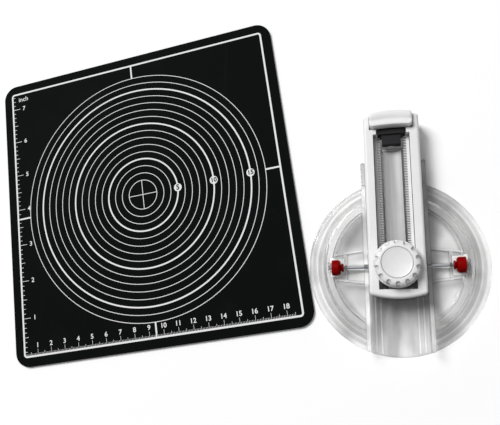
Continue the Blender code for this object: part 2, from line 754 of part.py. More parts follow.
def axle_keyhole(side):
    """Slot open below with a round top, which the axle snaps into."""
    radius = AXLE_RADIUS + SEAT_GAP
    outline = [(-radius, -BOOLEAN_OVERRUN), (radius, -BOOLEAN_OVERRUN)]
    for step in range(SMALL_ROUND_STEPS // 2 + 1):
        angle = math.pi * step / (SMALL_ROUND_STEPS // 2)
        outline.append((radius * math.cos(angle), ROLLER_HEIGHT + radius * math.sin(angle)))
    inner, outer = axle_ends()
    ends = sorted((side * (inner - SEAT_GAP), side * (outer + SEAT_GAP * 2)))
    return sweep("keyhole", outline, ends[0], ends[1], "X")


def make_disc(turntable, look):
    disc = disc_ring()
    opening = WALL_MIDDLE
    reach = DISC_RADIUS + BOOLEAN_OVERRUN
    top = RING_TOP + BOOLEAN_OVERRUN
    cut(disc, box("channel_void", (-opening, -reach, -BOOLEAN_OVERRUN), (opening, reach, top)))
    for side in (-1, 1):
        joined(disc, guide_wall(side))
    joined(disc, channel_floor())
    for side in (-1, 1):
        joined(disc, pane(side), spoke(side), bearing_post(side))
        cut(disc, roller_pocket(side), axle_keyhole(side))
    hole_top = RAIL_TOP + BOOLEAN_OVERRUN
    pivot_hole = rod("hole", FOOT_STEM_RADIUS + SEAT_GAP, -BOOLEAN_OVERRUN, hole_top)
    cut(disc, pivot_hole)
    for side in (-1, 1):
        radius = YOKE_SCREW_RADIUS + SEAT_GAP
        hole = rod("hole", radius, -BOOLEAN_OVERRUN, hole_top, SMALL_ROUND_STEPS)
        cut(disc, moved(hole, y=side * YOKE_SCREW_PLACE))
    finish(simplified(disc), look, turntable)


def make_yoke(turntable, look):
    """Steel strap under the arm's floor strip, with a leg up through the gap on each side of it."""
    base = box(
        "yoke_bracket",
        (-YOKE_OUTSIDE, -YOKE_BASE_HALF_LENGTH, YOKE_BASE_BOTTOM),
        (YOKE_OUTSIDE, YOKE_BASE_HALF_LENGTH, YOKE_BASE_TOP),
    )
    leg_top = BRIDGE_TOP - YOKE_LEG / 2
    half = YOKE_LEG_HALF_LENGTH
    for side in (-1, 1):
        ends = sorted((side * YOKE_INSIDE, side * YOKE_OUTSIDE))
        joined(base, box("leg", (ends[0], -half, YOKE_BASE_BOTTOM), (ends[1], half, leg_top)))
    above = YOKE_BASE_TOP + BOOLEAN_OVERRUN
    cut(base, rod("hole", PIVOT_HEAD_RADIUS + RUNNING_GAP, 0, above))
    for side in (-1, 1):
        hole = rod("hole", YOKE_SCREW_RADIUS + SEAT_GAP, 0, above, SMALL_ROUND_STEPS)
        cut(base, moved(hole, y=side * YOKE_SCREW_PLACE))
    finish(simplified(base), look, turntable)

    bridge = box(
        "yoke_bridge",
        (-BRIDGE_HALF_WIDTH, -BRIDGE_HALF_LENGTH, BRIDGE_BOTTOM),
        (BRIDGE_HALF_WIDTH, BRIDGE_HALF_LENGTH, BRIDGE_TOP),
    )
    corner = BRIDGE_HALF_WIDTH - YOKE_OUTSIDE - SEAT_GAP * 2
    rounded(bridge, corner, CORNER_STEPS, lambda a, b: abs(a.z - b.z) > BRIDGE_THICKNESS / 2)
    over = BRIDGE_TOP + BOOLEAN_OVERRUN
    half = YOKE_LEG_HALF_LENGTH + SEAT_GAP
    for side in (-1, 1):
        ends = sorted((side * (YOKE_INSIDE - SEAT_GAP), side * (YOKE_OUTSIDE + SEAT_GAP)))
        cut(bridge, box("leg_slot", (ends[0], -half, 0), (ends[1], half, over)))
    cut(bridge, rod("hole", STUD_RADIUS + RUNNING_GAP, 0, over))
    finish(simplified(bridge), look, turntable)

    head_bottom = YOKE_BASE_TOP + SEAT_GAP
    for name, side in (("near", -1), ("far", 1)):
        screw = turned(
            f"yoke_screw_{name}",
            [
                (0, FLOOR_BOTTOM + SEAT_GAP),
                (YOKE_SCREW_RADIUS, FLOOR_BOTTOM + SEAT_GAP),
                (YOKE_SCREW_RADIUS, head_bottom),
                (YOKE_SCREW_HEAD_RADIUS, head_bottom),
                (YOKE_SCREW_HEAD_RADIUS, head_bottom + YOKE_SCREW_HEAD / 2),
                (YOKE_SCREW_RADIUS, head_bottom + YOKE_SCREW_HEAD),
                (0, head_bottom + YOKE_SCREW_HEAD),
            ],
            SMALL_ROUND_STEPS,
        )
        finish(moved(screw, y=side * YOKE_SCREW_PLACE), look, turntable)
    washer = turned(
        "knob_washer",
        [
            (STUD_RADIUS + RUNNING_GAP, WASHER_BOTTOM),
            (WASHER_RADIUS, WASHER_BOTTOM),
            (WASHER_RADIUS, WASHER_TOP),
            (STUD_RADIUS + RUNNING_GAP, WASHER_TOP),
        ],
        ROUND_STEPS,
        closed=True,
    )
    finish(washer, look, turntable)


def make_rollers(turntable, looks):
    """Barrel with a narrow collar toward the middle, turned about its axle along X."""
    bore = AXLE_RADIUS + SEAT_GAP
    barrel_in = ROLLER_FACE_RADIUS_ON_DISC - ROLLER_WIDTH
    collar_out = barrel_in - ROLLER_NECK
    collar_in = collar_out - ROLLER_COLLAR_WIDTH
    swell = ROLLER_RADIUS - ROLLER_SMALL_RADIUS
    profile = [
        (bore, collar_in),
        (ROLLER_COLLAR_RADIUS - EDGE_ROUND, collar_in),
        (ROLLER_COLLAR_RADIUS, collar_in + EDGE_ROUND),
        (ROLLER_COLLAR_RADIUS, collar_out),
        (ROLLER_NECK_RADIUS, collar_out),
        (ROLLER_NECK_RADIUS, barrel_in),
    ]
    for along_share, out_share in ROLLER_SWELL_SHARES:
        radius = ROLLER_SMALL_RADIUS + swell * out_share
        profile.append((radius, barrel_in + ROLLER_ROUND * along_share))
    profile += [
        (ROLLER_RADIUS, ROLLER_FACE_RADIUS_ON_DISC - EDGE_ROUND),
        (ROLLER_RADIUS - EDGE_ROUND, ROLLER_FACE_RADIUS_ON_DISC),
        (bore, ROLLER_FACE_RADIUS_ON_DISC),
    ]
    middle = ROLLER_FACE_RADIUS_ON_DISC - ROLLER_WIDTH / 2
    first, last = axle_ends()
    for name, side in (("left", -1), ("right", 1)):
        place = (side * middle, 0, ROLLER_HEIGHT)
        axis = axis_empty(f"roller_{name}_axis", place, turntable)
        outline = [(radius, side * along) for radius, along in profile]
        roller = turned(f"roller_{name}", outline, ROLLER_STEPS, "X", closed=True)
        finish(moved(roller, z=ROLLER_HEIGHT), looks["red"], axis, place)
        ends = sorted((side * first, side * last))
        axle = rod(f"roller_axle_{name}", AXLE_RADIUS, ends[0], ends[1], SMALL_ROUND_STEPS, "X")
        finish(moved(axle, z=ROLLER_HEIGHT), looks["steel"], turntable)


def end_arc(half_width, crown, side):
    """An end as round as the disc, with its crown at the given y."""
    arc = arc_points(DISC_RADIUS, side * half_width, -side * half_width, side, EDGE_ARC_STEPS)
    return [(x, y - side * DISC_RADIUS + crown) for x, y in arc]


def cut_cores(body):
    """Hollows each side of the arm from underneath and leaves cross ribs between the cores."""
    step = (CORE_FAR_END - CORE_NEAR_END + CORE_RIB) / CORES_PER_SIDE
    for side in (-1, 1):
        ends = sorted((side * CORE_START, side * (CORE_START + CORE_WIDTH)))
        for core in range(CORES_PER_SIDE):
            start = CORE_NEAR_END + step * core
            low = (ends[0], start, ARM_BOTTOM - BOOLEAN_OVERRUN)
            high = (ends[1], start + step - CORE_RIB, ARM_TOP - CORE_ROOF)
            cut(body, box("core", low, high))


def make_arm(arm, look):
    half = ARM_WIDTH / 2
    outline = end_arc(half, ARM_NEAR_END, -1) + end_arc(half, ARM_REACH, 1)
    body = sweep("arm_body", outline, ARM_BOTTOM, ARM_TOP)
    top_edge = ARM_TOP - WELD_DISTANCE
    rounded(body, ARM_EDGE_ROUND, ARM_ROUND_STEPS, lambda a, b: a.z > top_edge and b.z > top_edge)
    under = ARM_BOTTOM - BOOLEAN_OVERRUN
    over = ARM_TOP + BOOLEAN_OVERRUN
    wide = SLOT_HALF_WIDTH + LEDGE_WIDTH
    slot = box("slot", (-SLOT_HALF_WIDTH, SLOT_NEAR_END, under), (SLOT_HALF_WIDTH, WELL_START, over))
    upper = box("upper", (-wide, SLOT_NEAR_END, LEDGE_TOP), (wide, HOLDER_FACE, over))
    funnel = sweep(
        "rim_bevel",
        [
            (-wide - RIM_BEVEL * 2, ARM_TOP + RIM_BEVEL),
            (-wide + RIM_BEVEL, ARM_TOP - RIM_BEVEL * 2),
            (wide - RIM_BEVEL, ARM_TOP - RIM_BEVEL * 2),
            (wide + RIM_BEVEL * 2, ARM_TOP + RIM_BEVEL),
        ],
        SLOT_NEAR_END,
        HOLDER_FACE,
        "Y",
    )
    well_half = WELL_WIDE_HALF_WIDTH
    well = box("well", (-well_half, WELL_START - JOIN_OVERLAP, under), (well_half, WELL_STEP, over))
    narrow = WELL_NARROW_HALF_WIDTH
    well_back = box("well_back", (-narrow, HOLDER_FACE, under), (narrow, WELL_FAR_END, over))
    recess_half = PRESS_PAD_HALF_WIDTH + SEAT_GAP
    recess = box(
        "recess",
        (-recess_half, RECESS_FRONT, RECESS_BOTTOM),
        (recess_half, ARM_REACH + BOOLEAN_OVERRUN, over),
    )
    cut(body, slot, upper, funnel, well, well_back, recess)
    for side in (-1, 1):
        radius = SPRING_RADIUS + SPRING_WIRE_RADIUS + RUNNING_GAP
        pocket = rod("pocket", radius, RECESS_BOTTOM - SPRING_POCKET_DEPTH, over, SMALL_ROUND_STEPS)
        cut(body, moved(pocket, x=side * SPRING_PLACE, y=SPRING_Y))
    strip = box(
        "strip",
        (-STRIP_HALF_WIDTH, SLOT_NEAR_END - JOIN_OVERLAP, STRIP_BOTTOM),
        (STRIP_HALF_WIDTH, WELL_START - STRIP_WEB_LENGTH / 2, STRIP_TOP),
    )
    web_half = SLOT_HALF_WIDTH + JOIN_OVERLAP
    web = box(
        "web",
        (-web_half, WELL_START - STRIP_WEB_LENGTH, STRIP_BOTTOM),
        (web_half, WELL_START - JOIN_OVERLAP, STRIP_TOP),
    )
    joined(strip, web)
    joined(body, strip)
    cut_cores(body)
    finish(simplified(body), look, arm)


def rack_outline(side):
    """Comb with its teeth toward the slot, each between two whole pitches from the axis."""
    root = SLOT_HALF_WIDTH
    points = [(side * RACK_BACK, -RACK_NEAR_END), (side * RACK_BACK, RACK_FAR_END)]
    points.append((side * root, RACK_FAR_END))
    first = round(RACK_NEAR_END / RACK_PITCH)
    last = math.floor((RACK_FAR_END - RACK_TOOTH_ROOT / 2) / RACK_PITCH - 1 / 2)
    for tooth in range(last, -first - 1, -1):
        middle = (tooth + 1 / 2) * RACK_PITCH
        points += [
            (side * root, middle + RACK_TOOTH_ROOT / 2),
            (side * RACK_TIP, middle + RACK_TOOTH_TIP / 2),
            (side * RACK_TIP, middle - RACK_TOOTH_TIP / 2),
            (side * root, middle - RACK_TOOTH_ROOT / 2),
        ]
    return points + [(side * root, -RACK_NEAR_END)]


def make_racks(arm, look):
    for name, side in (("left", -1), ("right", 1)):
        rack = sweep(f"rack_{name}", rack_outline(side), RACK_BOTTOM, RACK_TOP)
        finish(rack, look, arm)


def coil_points():
    """Points along a return spring, from its pocket's floor to the press pad."""
    bottom = RECESS_BOTTOM - SPRING_POCKET_DEPTH + SEAT_GAP + SPRING_WIRE_RADIUS
    top = PRESS_PAD_BOTTOM - SEAT_GAP - SPRING_WIRE_RADIUS
    count = SPRING_TURNS * SPRING_POINTS_PER_TURN
    points = []
    for step in range(count + 1):
        angle = math.tau * step / SPRING_POINTS_PER_TURN
        x = SPRING_RADIUS * math.cos(angle)
        y = SPRING_RADIUS * math.sin(angle)
        points.append(Vector((x, y, bottom + (top - bottom) * step / count)))
    return points


def least_gap(points):
    """Clear gap between a coil's turns, over all points at least half a turn apart."""
    apart = SPRING_POINTS_PER_TURN // 2
    nearest = min(
        (second - first).length
        for step, first in enumerate(points)
        for second in points[step + apart :]
    )
    return nearest - 2 * SPRING_WIRE_RADIUS


def make_springs(arm, look):
    """Return springs under the press pad, each one unbroken coil of round wire."""
    points = coil_points()
    print(f"Least gap between the spring's turns: {least_gap(points) / MM:.2f} mm")
    for name, side in (("left", -1), ("right", 1)):
        curve = bpy.data.curves.new(f"return_spring_{name}", "CURVE")
        curve.dimensions = "3D"
        curve.bevel_depth = SPRING_WIRE_RADIUS
        curve.bevel_resolution = 1
        curve.use_fill_caps = True
        wire = curve.splines.new("POLY")
        wire.points.add(len(points) - 1)
        for place, point in zip(points, wire.points):
            point.co = (*place, 1)
        spring = bpy.data.objects.new(f"return_spring_{name}", curve)
        bpy.context.scene.collection.objects.link(spring)
        curve.materials.append(look)
        spring.parent = arm
        spring.location = (side * SPRING_PLACE, SPRING_Y, 0)


def make_press_pad(carriage, look):
    """Thumb pad with a dip behind its front lip and the arm's round end."""
    profile = [(PAD_FRONT, PRESS_PAD_BOTTOM)]
    for along_share, height_share in PAD_TOP_SHARES:
        along = PAD_FRONT + PRESS_PAD_LENGTH * along_share
        profile.append((along, PRESS_PAD_BOTTOM + PRESS_PAD_HEIGHT * height_share))
    profile.append((profile[-1][0], PRESS_PAD_BOTTOM))
    half = PRESS_PAD_HALF_WIDTH
    pad = sweep("press_pad", profile, -half, half, "X")
    near_bottom = PRESS_PAD_BOTTOM + PRESS_PAD_HEIGHT / 2
    rounded(
        pad,
        PRESS_PAD_ROUND,
        PRESS_PAD_ROUND_STEPS,
        lambda a, b: abs(a.x - b.x) < WELD_DISTANCE and min(a.z, b.z) > near_bottom,
    )
    beyond = half + BOOLEAN_OVERRUN
    plan = end_arc(beyond, ARM_REACH, 1)
    plan += [(-beyond, PAD_FRONT - BOOLEAN_OVERRUN), (beyond, PAD_FRONT - BOOLEAN_OVERRUN)]
    top = PRESS_PAD_TOP + BOOLEAN_OVERRUN
    combine(pad, sweep("plan", plan, 0, top), "INTERSECT")
    low = PRESS_PAD_BOTTOM - PAD_BOSS_LENGTH
    for side in (-1, 1):
        boss = rod("boss", PAD_BOSS_RADIUS, low, PRESS_PAD_BOTTOM + JOIN_OVERLAP, SMALL_ROUND_STEPS)
        joined(pad, moved(boss, x=side * PAD_BOSS_PLACE, y=BOSS_Y))
        radius = PAD_SCREW_RADIUS + SEAT_GAP / 2
        hole_top = PRESS_PAD_BOTTOM + PAD_BOSS_LENGTH / 2
        hole = rod("hole", radius, 0, hole_top, SMALL_ROUND_STEPS)
        cut(pad, moved(hole, x=side * PAD_BOSS_PLACE, y=BOSS_Y))
    finish(simplified(pad), look, carriage)


def make_blade_holder(carriage, look):
    """Black block that hangs from the press pad, forked round the blade."""
    wide = WELL_WIDE_HALF_WIDTH - RUNNING_GAP
    narrow = WELL_NARROW_HALF_WIDTH - RUNNING_GAP
    head = box("blade_holder", (-wide, HOLDER_FACE, HOLDER_BOTTOM), (wide, HOLDER_HEAD_END, HOLDER_TOP))
    crest_top = HOLDER_TOP + HOLDER_CREST
    crest = box("crest", (-wide, HOLDER_FACE, HOLDER_BOTTOM), (wide, RECESS_FRONT, crest_top))
    block_start = HOLDER_FACE + JOIN_OVERLAP
    block = box("block", (-narrow, block_start, HOLDER_BOTTOM), (narrow, HOLDER_FAR_END, HOLDER_TOP))
    neck_half = HOLDER_NECK_HALF_WIDTH
    neck_bottom = HOLDER_TOP - HOLDER_NECK_HEIGHT
    neck = box(
        "neck",
        (-neck_half, HOLDER_NECK_START, neck_bottom),
        (neck_half, HOLDER_FACE + JOIN_OVERLAP, HOLDER_TOP),
    )
    joined(head, crest, block, neck)
    gap_half = BLADE_THICKNESS / 2 + BLADE_SIDE_GAP
    blade_room = BLADE_RADIUS + SEAT_GAP
    fork = [(-blade_room, -BOOLEAN_OVERRUN), (blade_room, -BOOLEAN_OVERRUN)]
    for step in range(SMALL_ROUND_STEPS + 1):
        angle = math.pi * step / SMALL_ROUND_STEPS
        fork.append((blade_room * math.cos(angle), BLADE_HEIGHT + blade_room * math.sin(angle)))
    cut(head, sweep("fork", fork, BLADE_PLACE - gap_half, BLADE_PLACE + gap_half, "Y"))
    axle_hole = stepped_rod(
        "axle_hole",
        [
            (BLADE_AXLE_HEAD_RADIUS + SEAT_GAP, HOLDER_NECK_START - BOOLEAN_OVERRUN),
            (BLADE_AXLE_RADIUS + SEAT_GAP, HOLDER_FACE + BLADE_AXLE_HEAD + SEAT_GAP / 2),
        ],
        BLADE_PLACE + BLADE_AXLE_DEPTH,
        "Y",
    )
    cut(head, moved(axle_hole, z=BLADE_HEIGHT))
    for side in (-1, 1):
        screw_hole = stepped_rod(
            "screw_hole",
            [
                (PAD_SCREW_HEAD_RADIUS + SEAT_GAP, HOLDER_BOTTOM - BOOLEAN_OVERRUN),
                (PAD_SCREW_RADIUS + SEAT_GAP, HOLDER_BOTTOM + PAD_SCREW_HEAD + SEAT_GAP),
                (PAD_BOSS_RADIUS + SEAT_GAP, HOLDER_TOP - PAD_BOSS_LENGTH),
            ],
            HOLDER_TOP + BOOLEAN_OVERRUN,
        )
        cut(head, moved(screw_hole, x=side * PAD_BOSS_PLACE, y=BOSS_Y))
    finish(simplified(head), look, carriage)


def make_carriage_fasteners(carriage, look):
    head_start = HOLDER_FACE + SEAT_GAP / 2
    head_end = head_start + BLADE_AXLE_HEAD - SEAT_GAP
    axle = stepped_rod(
        "blade_axle",
        [(BLADE_AXLE_HEAD_RADIUS, head_start), (BLADE_AXLE_RADIUS, head_end)],
        BLADE_PLACE + BLADE_AXLE_DEPTH - SEAT_GAP,
        "Y",
    )
    finish(moved(axle, z=BLADE_HEIGHT), look, carriage)
    low = HOLDER_BOTTOM + SEAT_GAP / 2
    high = PRESS_PAD_BOTTOM + PAD_BOSS_LENGTH / 2 - SEAT_GAP
    for name, side in (("left", -1), ("right", 1)):
        parts = [(PAD_SCREW_HEAD_RADIUS, low), (PAD_SCREW_RADIUS, low + PAD_SCREW_HEAD)]
        screw = stepped_rod(f"pad_screw_{name}", parts, high)
        finish(moved(screw, x=side * PAD_BOSS_PLACE, y=BOSS_Y), look, carriage)


def make_blade(blade, look):
    """Round blade ground to an edge on both sides, turned about Y."""
    half = BLADE_THICKNESS / 2
    bore = BLADE_AXLE_RADIUS + SEAT_GAP
    profile = [
        (bore, BLADE_PLACE - half),
        (BLADE_RADIUS - BLADE_BEVEL, BLADE_PLACE - half),
        (BLADE_RADIUS, BLADE_PLACE),
        (BLADE_RADIUS - BLADE_BEVEL, BLADE_PLACE + half),
        (bore, BLADE_PLACE + half),
    ]
    wheel = turned("blade_wheel", profile, BLADE_STEPS, "Y", closed=True)
    finish(moved(wheel, z=BLADE_HEIGHT), look, blade, (0, BLADE_PLACE, BLADE_HEIGHT))


def make_clamp(clamp, looks):
    """Block between the combs with four toothed wings, and the stud that the knob drives."""
    half = CLAMP_BODY_HALF_WIDTH
    length = CLAMP_HALF_LENGTH
    block = box("clamp_block", (-half, -length, CLAMP_BOTTOM), (half, length, CLAMP_TOP))
    corner = SEAT_GAP * 2
    rounded(block, corner, CORNER_STEPS, lambda a, b: abs(a.z - b.z) > CLAMP_TRAVEL)
    root = RACK_TIP - SEAT_GAP
    tip = SLOT_HALF_WIDTH - SEAT_GAP
    first_tooth = math.ceil(CLAMP_WING_START / RACK_PITCH)
    for side in (-1, 1):
        for turn in (-1, 1):
            buried = side * (half - JOIN_OVERLAP)
            points = [(buried, turn * CLAMP_WING_START), (side * root, turn * CLAMP_WING_START)]
            for tooth in range(first_tooth, first_tooth + CLAMP_TEETH_PER_WING):
                middle = tooth * RACK_PITCH
                points += [
                    (side * root, turn * (middle - CLAMP_TOOTH_ROOT / 2)),
                    (side * tip, turn * (middle - CLAMP_TOOTH_TIP / 2)),
                    (side * tip, turn * (middle + CLAMP_TOOTH_TIP / 2)),
                    (side * root, turn * (middle + CLAMP_TOOTH_ROOT / 2)),
                ]
            end = length - corner
            points += [(side * root, turn * end), (buried, turn * end)]
            joined(block, sweep("wing", points, WING_BOTTOM, WING_TOP))
    hole = rod("hole", STUD_RADIUS + SEAT_GAP, STUD_BOTTOM - SEAT_GAP, CLAMP_TOP + BOOLEAN_OVERRUN)
    cut(block, hole)
    finish(simplified(block), looks["holder"], clamp)
    stud = rod("clamp_stud", STUD_RADIUS, STUD_BOTTOM, STUD_TOP)
    half_pin = CROSS_PIN_HALF_LENGTH
    pin = rod("pin", CROSS_PIN_RADIUS, -half_pin, half_pin, SMALL_ROUND_STEPS, "X")
    joined(stud, moved(pin, z=STUD_TOP - CROSS_PIN_BELOW_TOP))
    finish(simplified(stud), looks["steel"], clamp)


def make_knob(knob, looks):
    bore = STUD_RADIUS + RUNNING_GAP
    skirt = turned(
        "knob_skirt",
        [
            (bore, WASHER_TOP + SEAT_GAP),
            (SKIRT_HUB_RADIUS, WASHER_TOP + SEAT_GAP),
            (SKIRT_HUB_RADIUS, SKIRT_BOTTOM),
            (SKIRT_RADIUS, SKIRT_BOTTOM),
            (SKIRT_RADIUS, SKIRT_TOP - SKIRT_BEVEL),
            (SKIRT_RADIUS - SKIRT_BEVEL, SKIRT_TOP),
            (bore, SKIRT_TOP),
        ],
        LARGE_ROUND_STEPS,
        closed=True,
    )
    finish(skirt, looks["knob"], knob)

    top_inner = CAP_RADIUS + SEAT_GAP
    pocket_bottom = KNOB_TOP - CAP_THICKNESS - SEAT_GAP
    crown_inner = top_inner + CAP_LIP * 2
    cavity = CROSS_PIN_HALF_LENGTH + RUNNING_GAP
    cavity_bottom = STUD_TOP - CROSS_PIN_BELOW_TOP - CROSS_PIN_RADIUS - CLAMP_TRAVEL - RUNNING_GAP
    profile = [
        (bore, KNOB_BOTTOM),
        (KNOB_RADIUS, KNOB_BOTTOM),
    ]
    for in_share, down_share in KNOB_SHOULDER_SHARES:
        profile.append((KNOB_RADIUS - KNOB_SHOULDER * in_share, KNOB_TOP - KNOB_SHOULDER * down_share))
    profile += [
        (crown_inner, KNOB_TOP),
        (top_inner, KNOB_TOP),
        (top_inner, pocket_bottom),
        (cavity, pocket_bottom),
        (cavity, cavity_bottom),
        (bore, cavity_bottom),
    ]
    head = turned("knob_head", profile, KNOB_FLUTES * KNOB_STEPS_PER_FLUTE, closed=True)
    for flute in range(KNOB_FLUTES):
        angle = math.tau * flute / KNOB_FLUTES
        tool = rod("flute", FLUTE_RADIUS, 0, KNOB_TOP + BOOLEAN_OVERRUN, FLUTE_STEPS)
        tool.data.transform(Matrix.Rotation(angle, 4, "Z"))
        cut(head, moved(tool, KNOB_RADIUS * math.cos(angle), KNOB_RADIUS * math.sin(angle)))
    finish(simplified(head), looks["knob"], knob)

    cap_bottom = KNOB_TOP - CAP_THICKNESS
    cap_profile = [(0, cap_bottom), (CAP_RADIUS, cap_bottom), (CAP_RADIUS, KNOB_TOP - CAP_LIP / 2)]
    cap_profile += [(CAP_RADIUS - CAP_LIP / 2, KNOB_TOP), (CAP_RADIUS - CAP_LIP, KNOB_TOP)]
    dish_radius = CAP_RADIUS - CAP_LIP
    for ring in range(1, CAP_DISH_RINGS + 1):
        share = 1 - ring / CAP_DISH_RINGS
        drop = CAP_DISH_DEPTH * (1 - share**2)
        cap_profile.append((dish_radius * share, KNOB_TOP - drop))
    finish(turned("knob_cap", cap_profile, LARGE_ROUND_STEPS), looks["knob"], knob)


def make_looks():
    return {
        "mat": material("mat_black", (0.012, 0.015, 0.015), 0.62),
        "pad": material("pad_rubber", (0.05, 0.05, 0.055), 0.85),
        "foot": material("foot_plastic", (0.75, 0.76, 0.78), 0.4),
        "clear": material("clear_plastic", (0.93, 0.95, 0.96), 0.06, transmission=0.85),
        "red": material("roller_red", (0.34, 0.006, 0.008), 0.45),
        "steel": material("steel", (0.62, 0.63, 0.65), 0.3, metallic=1.0),
        "arm": material("arm_white", (0.78, 0.78, 0.79), 0.42),
        "rack": material("rack_white", (0.7, 0.7, 0.71), 0.45),
        "press": material("press_pad_white", (0.76, 0.76, 0.77), 0.4),
        "knob": material("knob_white", (0.8, 0.8, 0.81), 0.38),
        "holder": material("holder_black", (0.014, 0.014, 0.015), 0.45),
        "blade": material("blade_steel", (0.72, 0.73, 0.75), 0.18, metallic=1.0),
    }


def main():
    clear_scene()
    looks = make_looks()
    mat_place, cutter_place = layout()
    make_mat(mat_place, looks["mat"])

    cutter = axis_empty("cutter_base", (0, 0, 0), None)
    cutter.location = cutter_place
    turntable = axis_empty("turntable_axis", (0, 0, 0), cutter)
    knob = axis_empty("knob_axis", (0, 0, KNOB_BOTTOM), turntable)
    clamp = axis_empty("clamp_slide", (0, 0, CLAMP_BOTTOM), turntable)
    arm = axis_empty("arm_slide", (0, 0, 0), turntable)
    carriage = axis_empty("press_slide", (0, 0, 0), arm)
    blade = axis_empty("blade_axis", (0, BLADE_PLACE, BLADE_HEIGHT), carriage)

    make_pivot(cutter, looks)
    make_disc(turntable, looks["clear"])
    make_yoke(turntable, looks["steel"])
    make_rollers(turntable, looks)
    make_arm(arm, looks["arm"])
    make_racks(arm, looks["rack"])
    make_springs(arm, looks["steel"])
    make_press_pad(carriage, looks["press"])
    make_blade_holder(carriage, looks["holder"])
    make_carriage_fasteners(carriage, looks["steel"])
    make_blade(blade, looks["blade"])
    make_clamp(clamp, looks)
    make_knob(knob, looks)


main()
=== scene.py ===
# %% [markdown]
# # A rotary circle cutter and its cutting mat
# The real object is a small desk tool in two parts. A clear moulded disc turns on the paper about
# a rubber foot, and a white arm slides across it with a little wheel blade in its far end. The
# black mat beside it is printed with rings and two rulers. The mechanism comes from the packed
# model, so every piece here is made round the axis that the model gives, and is hung on the body
# that moves it.

import json
import math

import bmesh
import bpy
from mathutils import Matrix, Vector

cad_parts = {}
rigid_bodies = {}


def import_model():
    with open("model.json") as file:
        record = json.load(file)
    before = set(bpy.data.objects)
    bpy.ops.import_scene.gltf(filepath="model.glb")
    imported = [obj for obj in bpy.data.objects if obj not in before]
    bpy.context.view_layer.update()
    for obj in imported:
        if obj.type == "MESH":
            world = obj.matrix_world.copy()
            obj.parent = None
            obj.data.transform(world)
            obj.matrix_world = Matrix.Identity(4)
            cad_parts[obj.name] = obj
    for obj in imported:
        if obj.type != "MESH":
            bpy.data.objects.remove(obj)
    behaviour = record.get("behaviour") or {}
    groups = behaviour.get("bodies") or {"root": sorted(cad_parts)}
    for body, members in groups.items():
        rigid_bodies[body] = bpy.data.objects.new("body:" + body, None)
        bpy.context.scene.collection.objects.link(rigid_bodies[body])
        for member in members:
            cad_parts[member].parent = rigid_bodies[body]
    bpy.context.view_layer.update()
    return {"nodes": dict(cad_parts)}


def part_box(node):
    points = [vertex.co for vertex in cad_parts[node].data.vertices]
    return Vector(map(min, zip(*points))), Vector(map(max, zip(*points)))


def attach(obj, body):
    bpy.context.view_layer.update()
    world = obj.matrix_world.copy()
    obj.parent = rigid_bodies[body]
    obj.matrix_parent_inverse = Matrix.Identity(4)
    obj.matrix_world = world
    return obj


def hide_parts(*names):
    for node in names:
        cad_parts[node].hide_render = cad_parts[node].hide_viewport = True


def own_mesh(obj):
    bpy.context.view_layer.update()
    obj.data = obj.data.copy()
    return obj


for leftover in list(bpy.data.objects):
    bpy.data.objects.remove(leftover)
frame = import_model()

# %% [markdown]
# ## Where things are
# Every shape below is drawn in millimetres from the point where the disc turns, because the
# cutter's maker would draw it that way. One matrix at the end takes a shape to its real place
# in metres. The axis is read from the foot's own box, so that nothing has to be fitted by eye.

# %% The axis and the matrix that takes millimetres to the model's frame
MM = 0.001
foot_low, foot_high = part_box("pivot_pad")
AXIS = (Vector(foot_low) + Vector(foot_high)) / 2
TO_FRAME = Matrix.Translation((AXIS.x, AXIS.y, 0.0)) @ Matrix.Scale(MM, 4)
print("the disc turns about", [round(v * 1000, 2) for v in AXIS[:2]])

# %% [markdown]
# ## The camera
# The photograph looks down on the set from close above the cutter, which is why the cutter looks
# large and the mat beside it falls away a little. A short lens close by gives that, so the camera
# hangs over the cutter's side and aims at the middle of the set. Its upright is the arm's
# direction, which is set with a matrix, because a tracking helper has no steady upright when a
# camera looks almost straight down.

# %% Camera
CAMERA_PLACE = Vector((0.112, -0.090, 0.360))
CAMERA_AIM = Vector((0.0225, -0.0155, 0.0))
FOCAL_LENGTH_IN_PIXELS = 592.0
PICTURE_WIDTH_IN_PIXELS = 500.0


def linked(name, data):
    """A new object of this data, put in the scene."""
    body = bpy.data.objects.new(name, data)
    bpy.context.scene.collection.objects.link(body)
    return body


camera_data = bpy.data.cameras.new("camera")
camera_data.sensor_fit = "HORIZONTAL"
camera_data.angle = 2 * math.atan(PICTURE_WIDTH_IN_PIXELS / 2 / FOCAL_LENGTH_IN_PIXELS)
camera_data.clip_start = 0.01
camera = linked("camera", camera_data)
forward = (CAMERA_AIM - CAMERA_PLACE).normalized()
rightward = forward.cross(Vector((0.0, 1.0, 0.0))).normalized()
upward = rightward.cross(forward)
turn = Matrix((rightward, upward, -forward)).transposed().to_4x4()
camera.matrix_world = Matrix.Translation(CAMERA_PLACE) @ turn
bpy.context.scene.camera = camera
print("field of view", round(math.degrees(camera_data.angle), 1), "degrees")

# %% [markdown]
# ## Helpers for shader nodes
# A finish is a chart of small nodes joined by links. Most of them here are sums, ranges, mixes and
# noises, so each of these has a short function that makes the node, links or sets its inputs and
# hands back its output. A chart then reads from top to bottom, as a recipe does.

# %% Helpers for shader nodes
def put(tree, value, socket):
    """Links an output to the socket, or writes a plain value into it."""
    if isinstance(value, bpy.types.NodeSocket):
        tree.links.new(value, socket)
    else:
        socket.default_value = value


def fed(tree, node, **values):
    """The node with its named inputs linked or set."""
    for label, value in values.items():
        put(tree, value, node.inputs[label.replace("_", " ")])
    return node


def new_node(tree, kind, settings=(), **values):
    node = tree.nodes.new(kind)
    for key, value in settings:
        setattr(node, key, value)
    return fed(tree, node, **values)


def worked(tree, operation, *values):
    """What a Math node makes of these outputs or numbers."""
    node = new_node(tree, "ShaderNodeMath", [("operation", operation)])
    for socket, value in zip(node.inputs, values):
        put(tree, value, socket)
    return node.outputs[0]


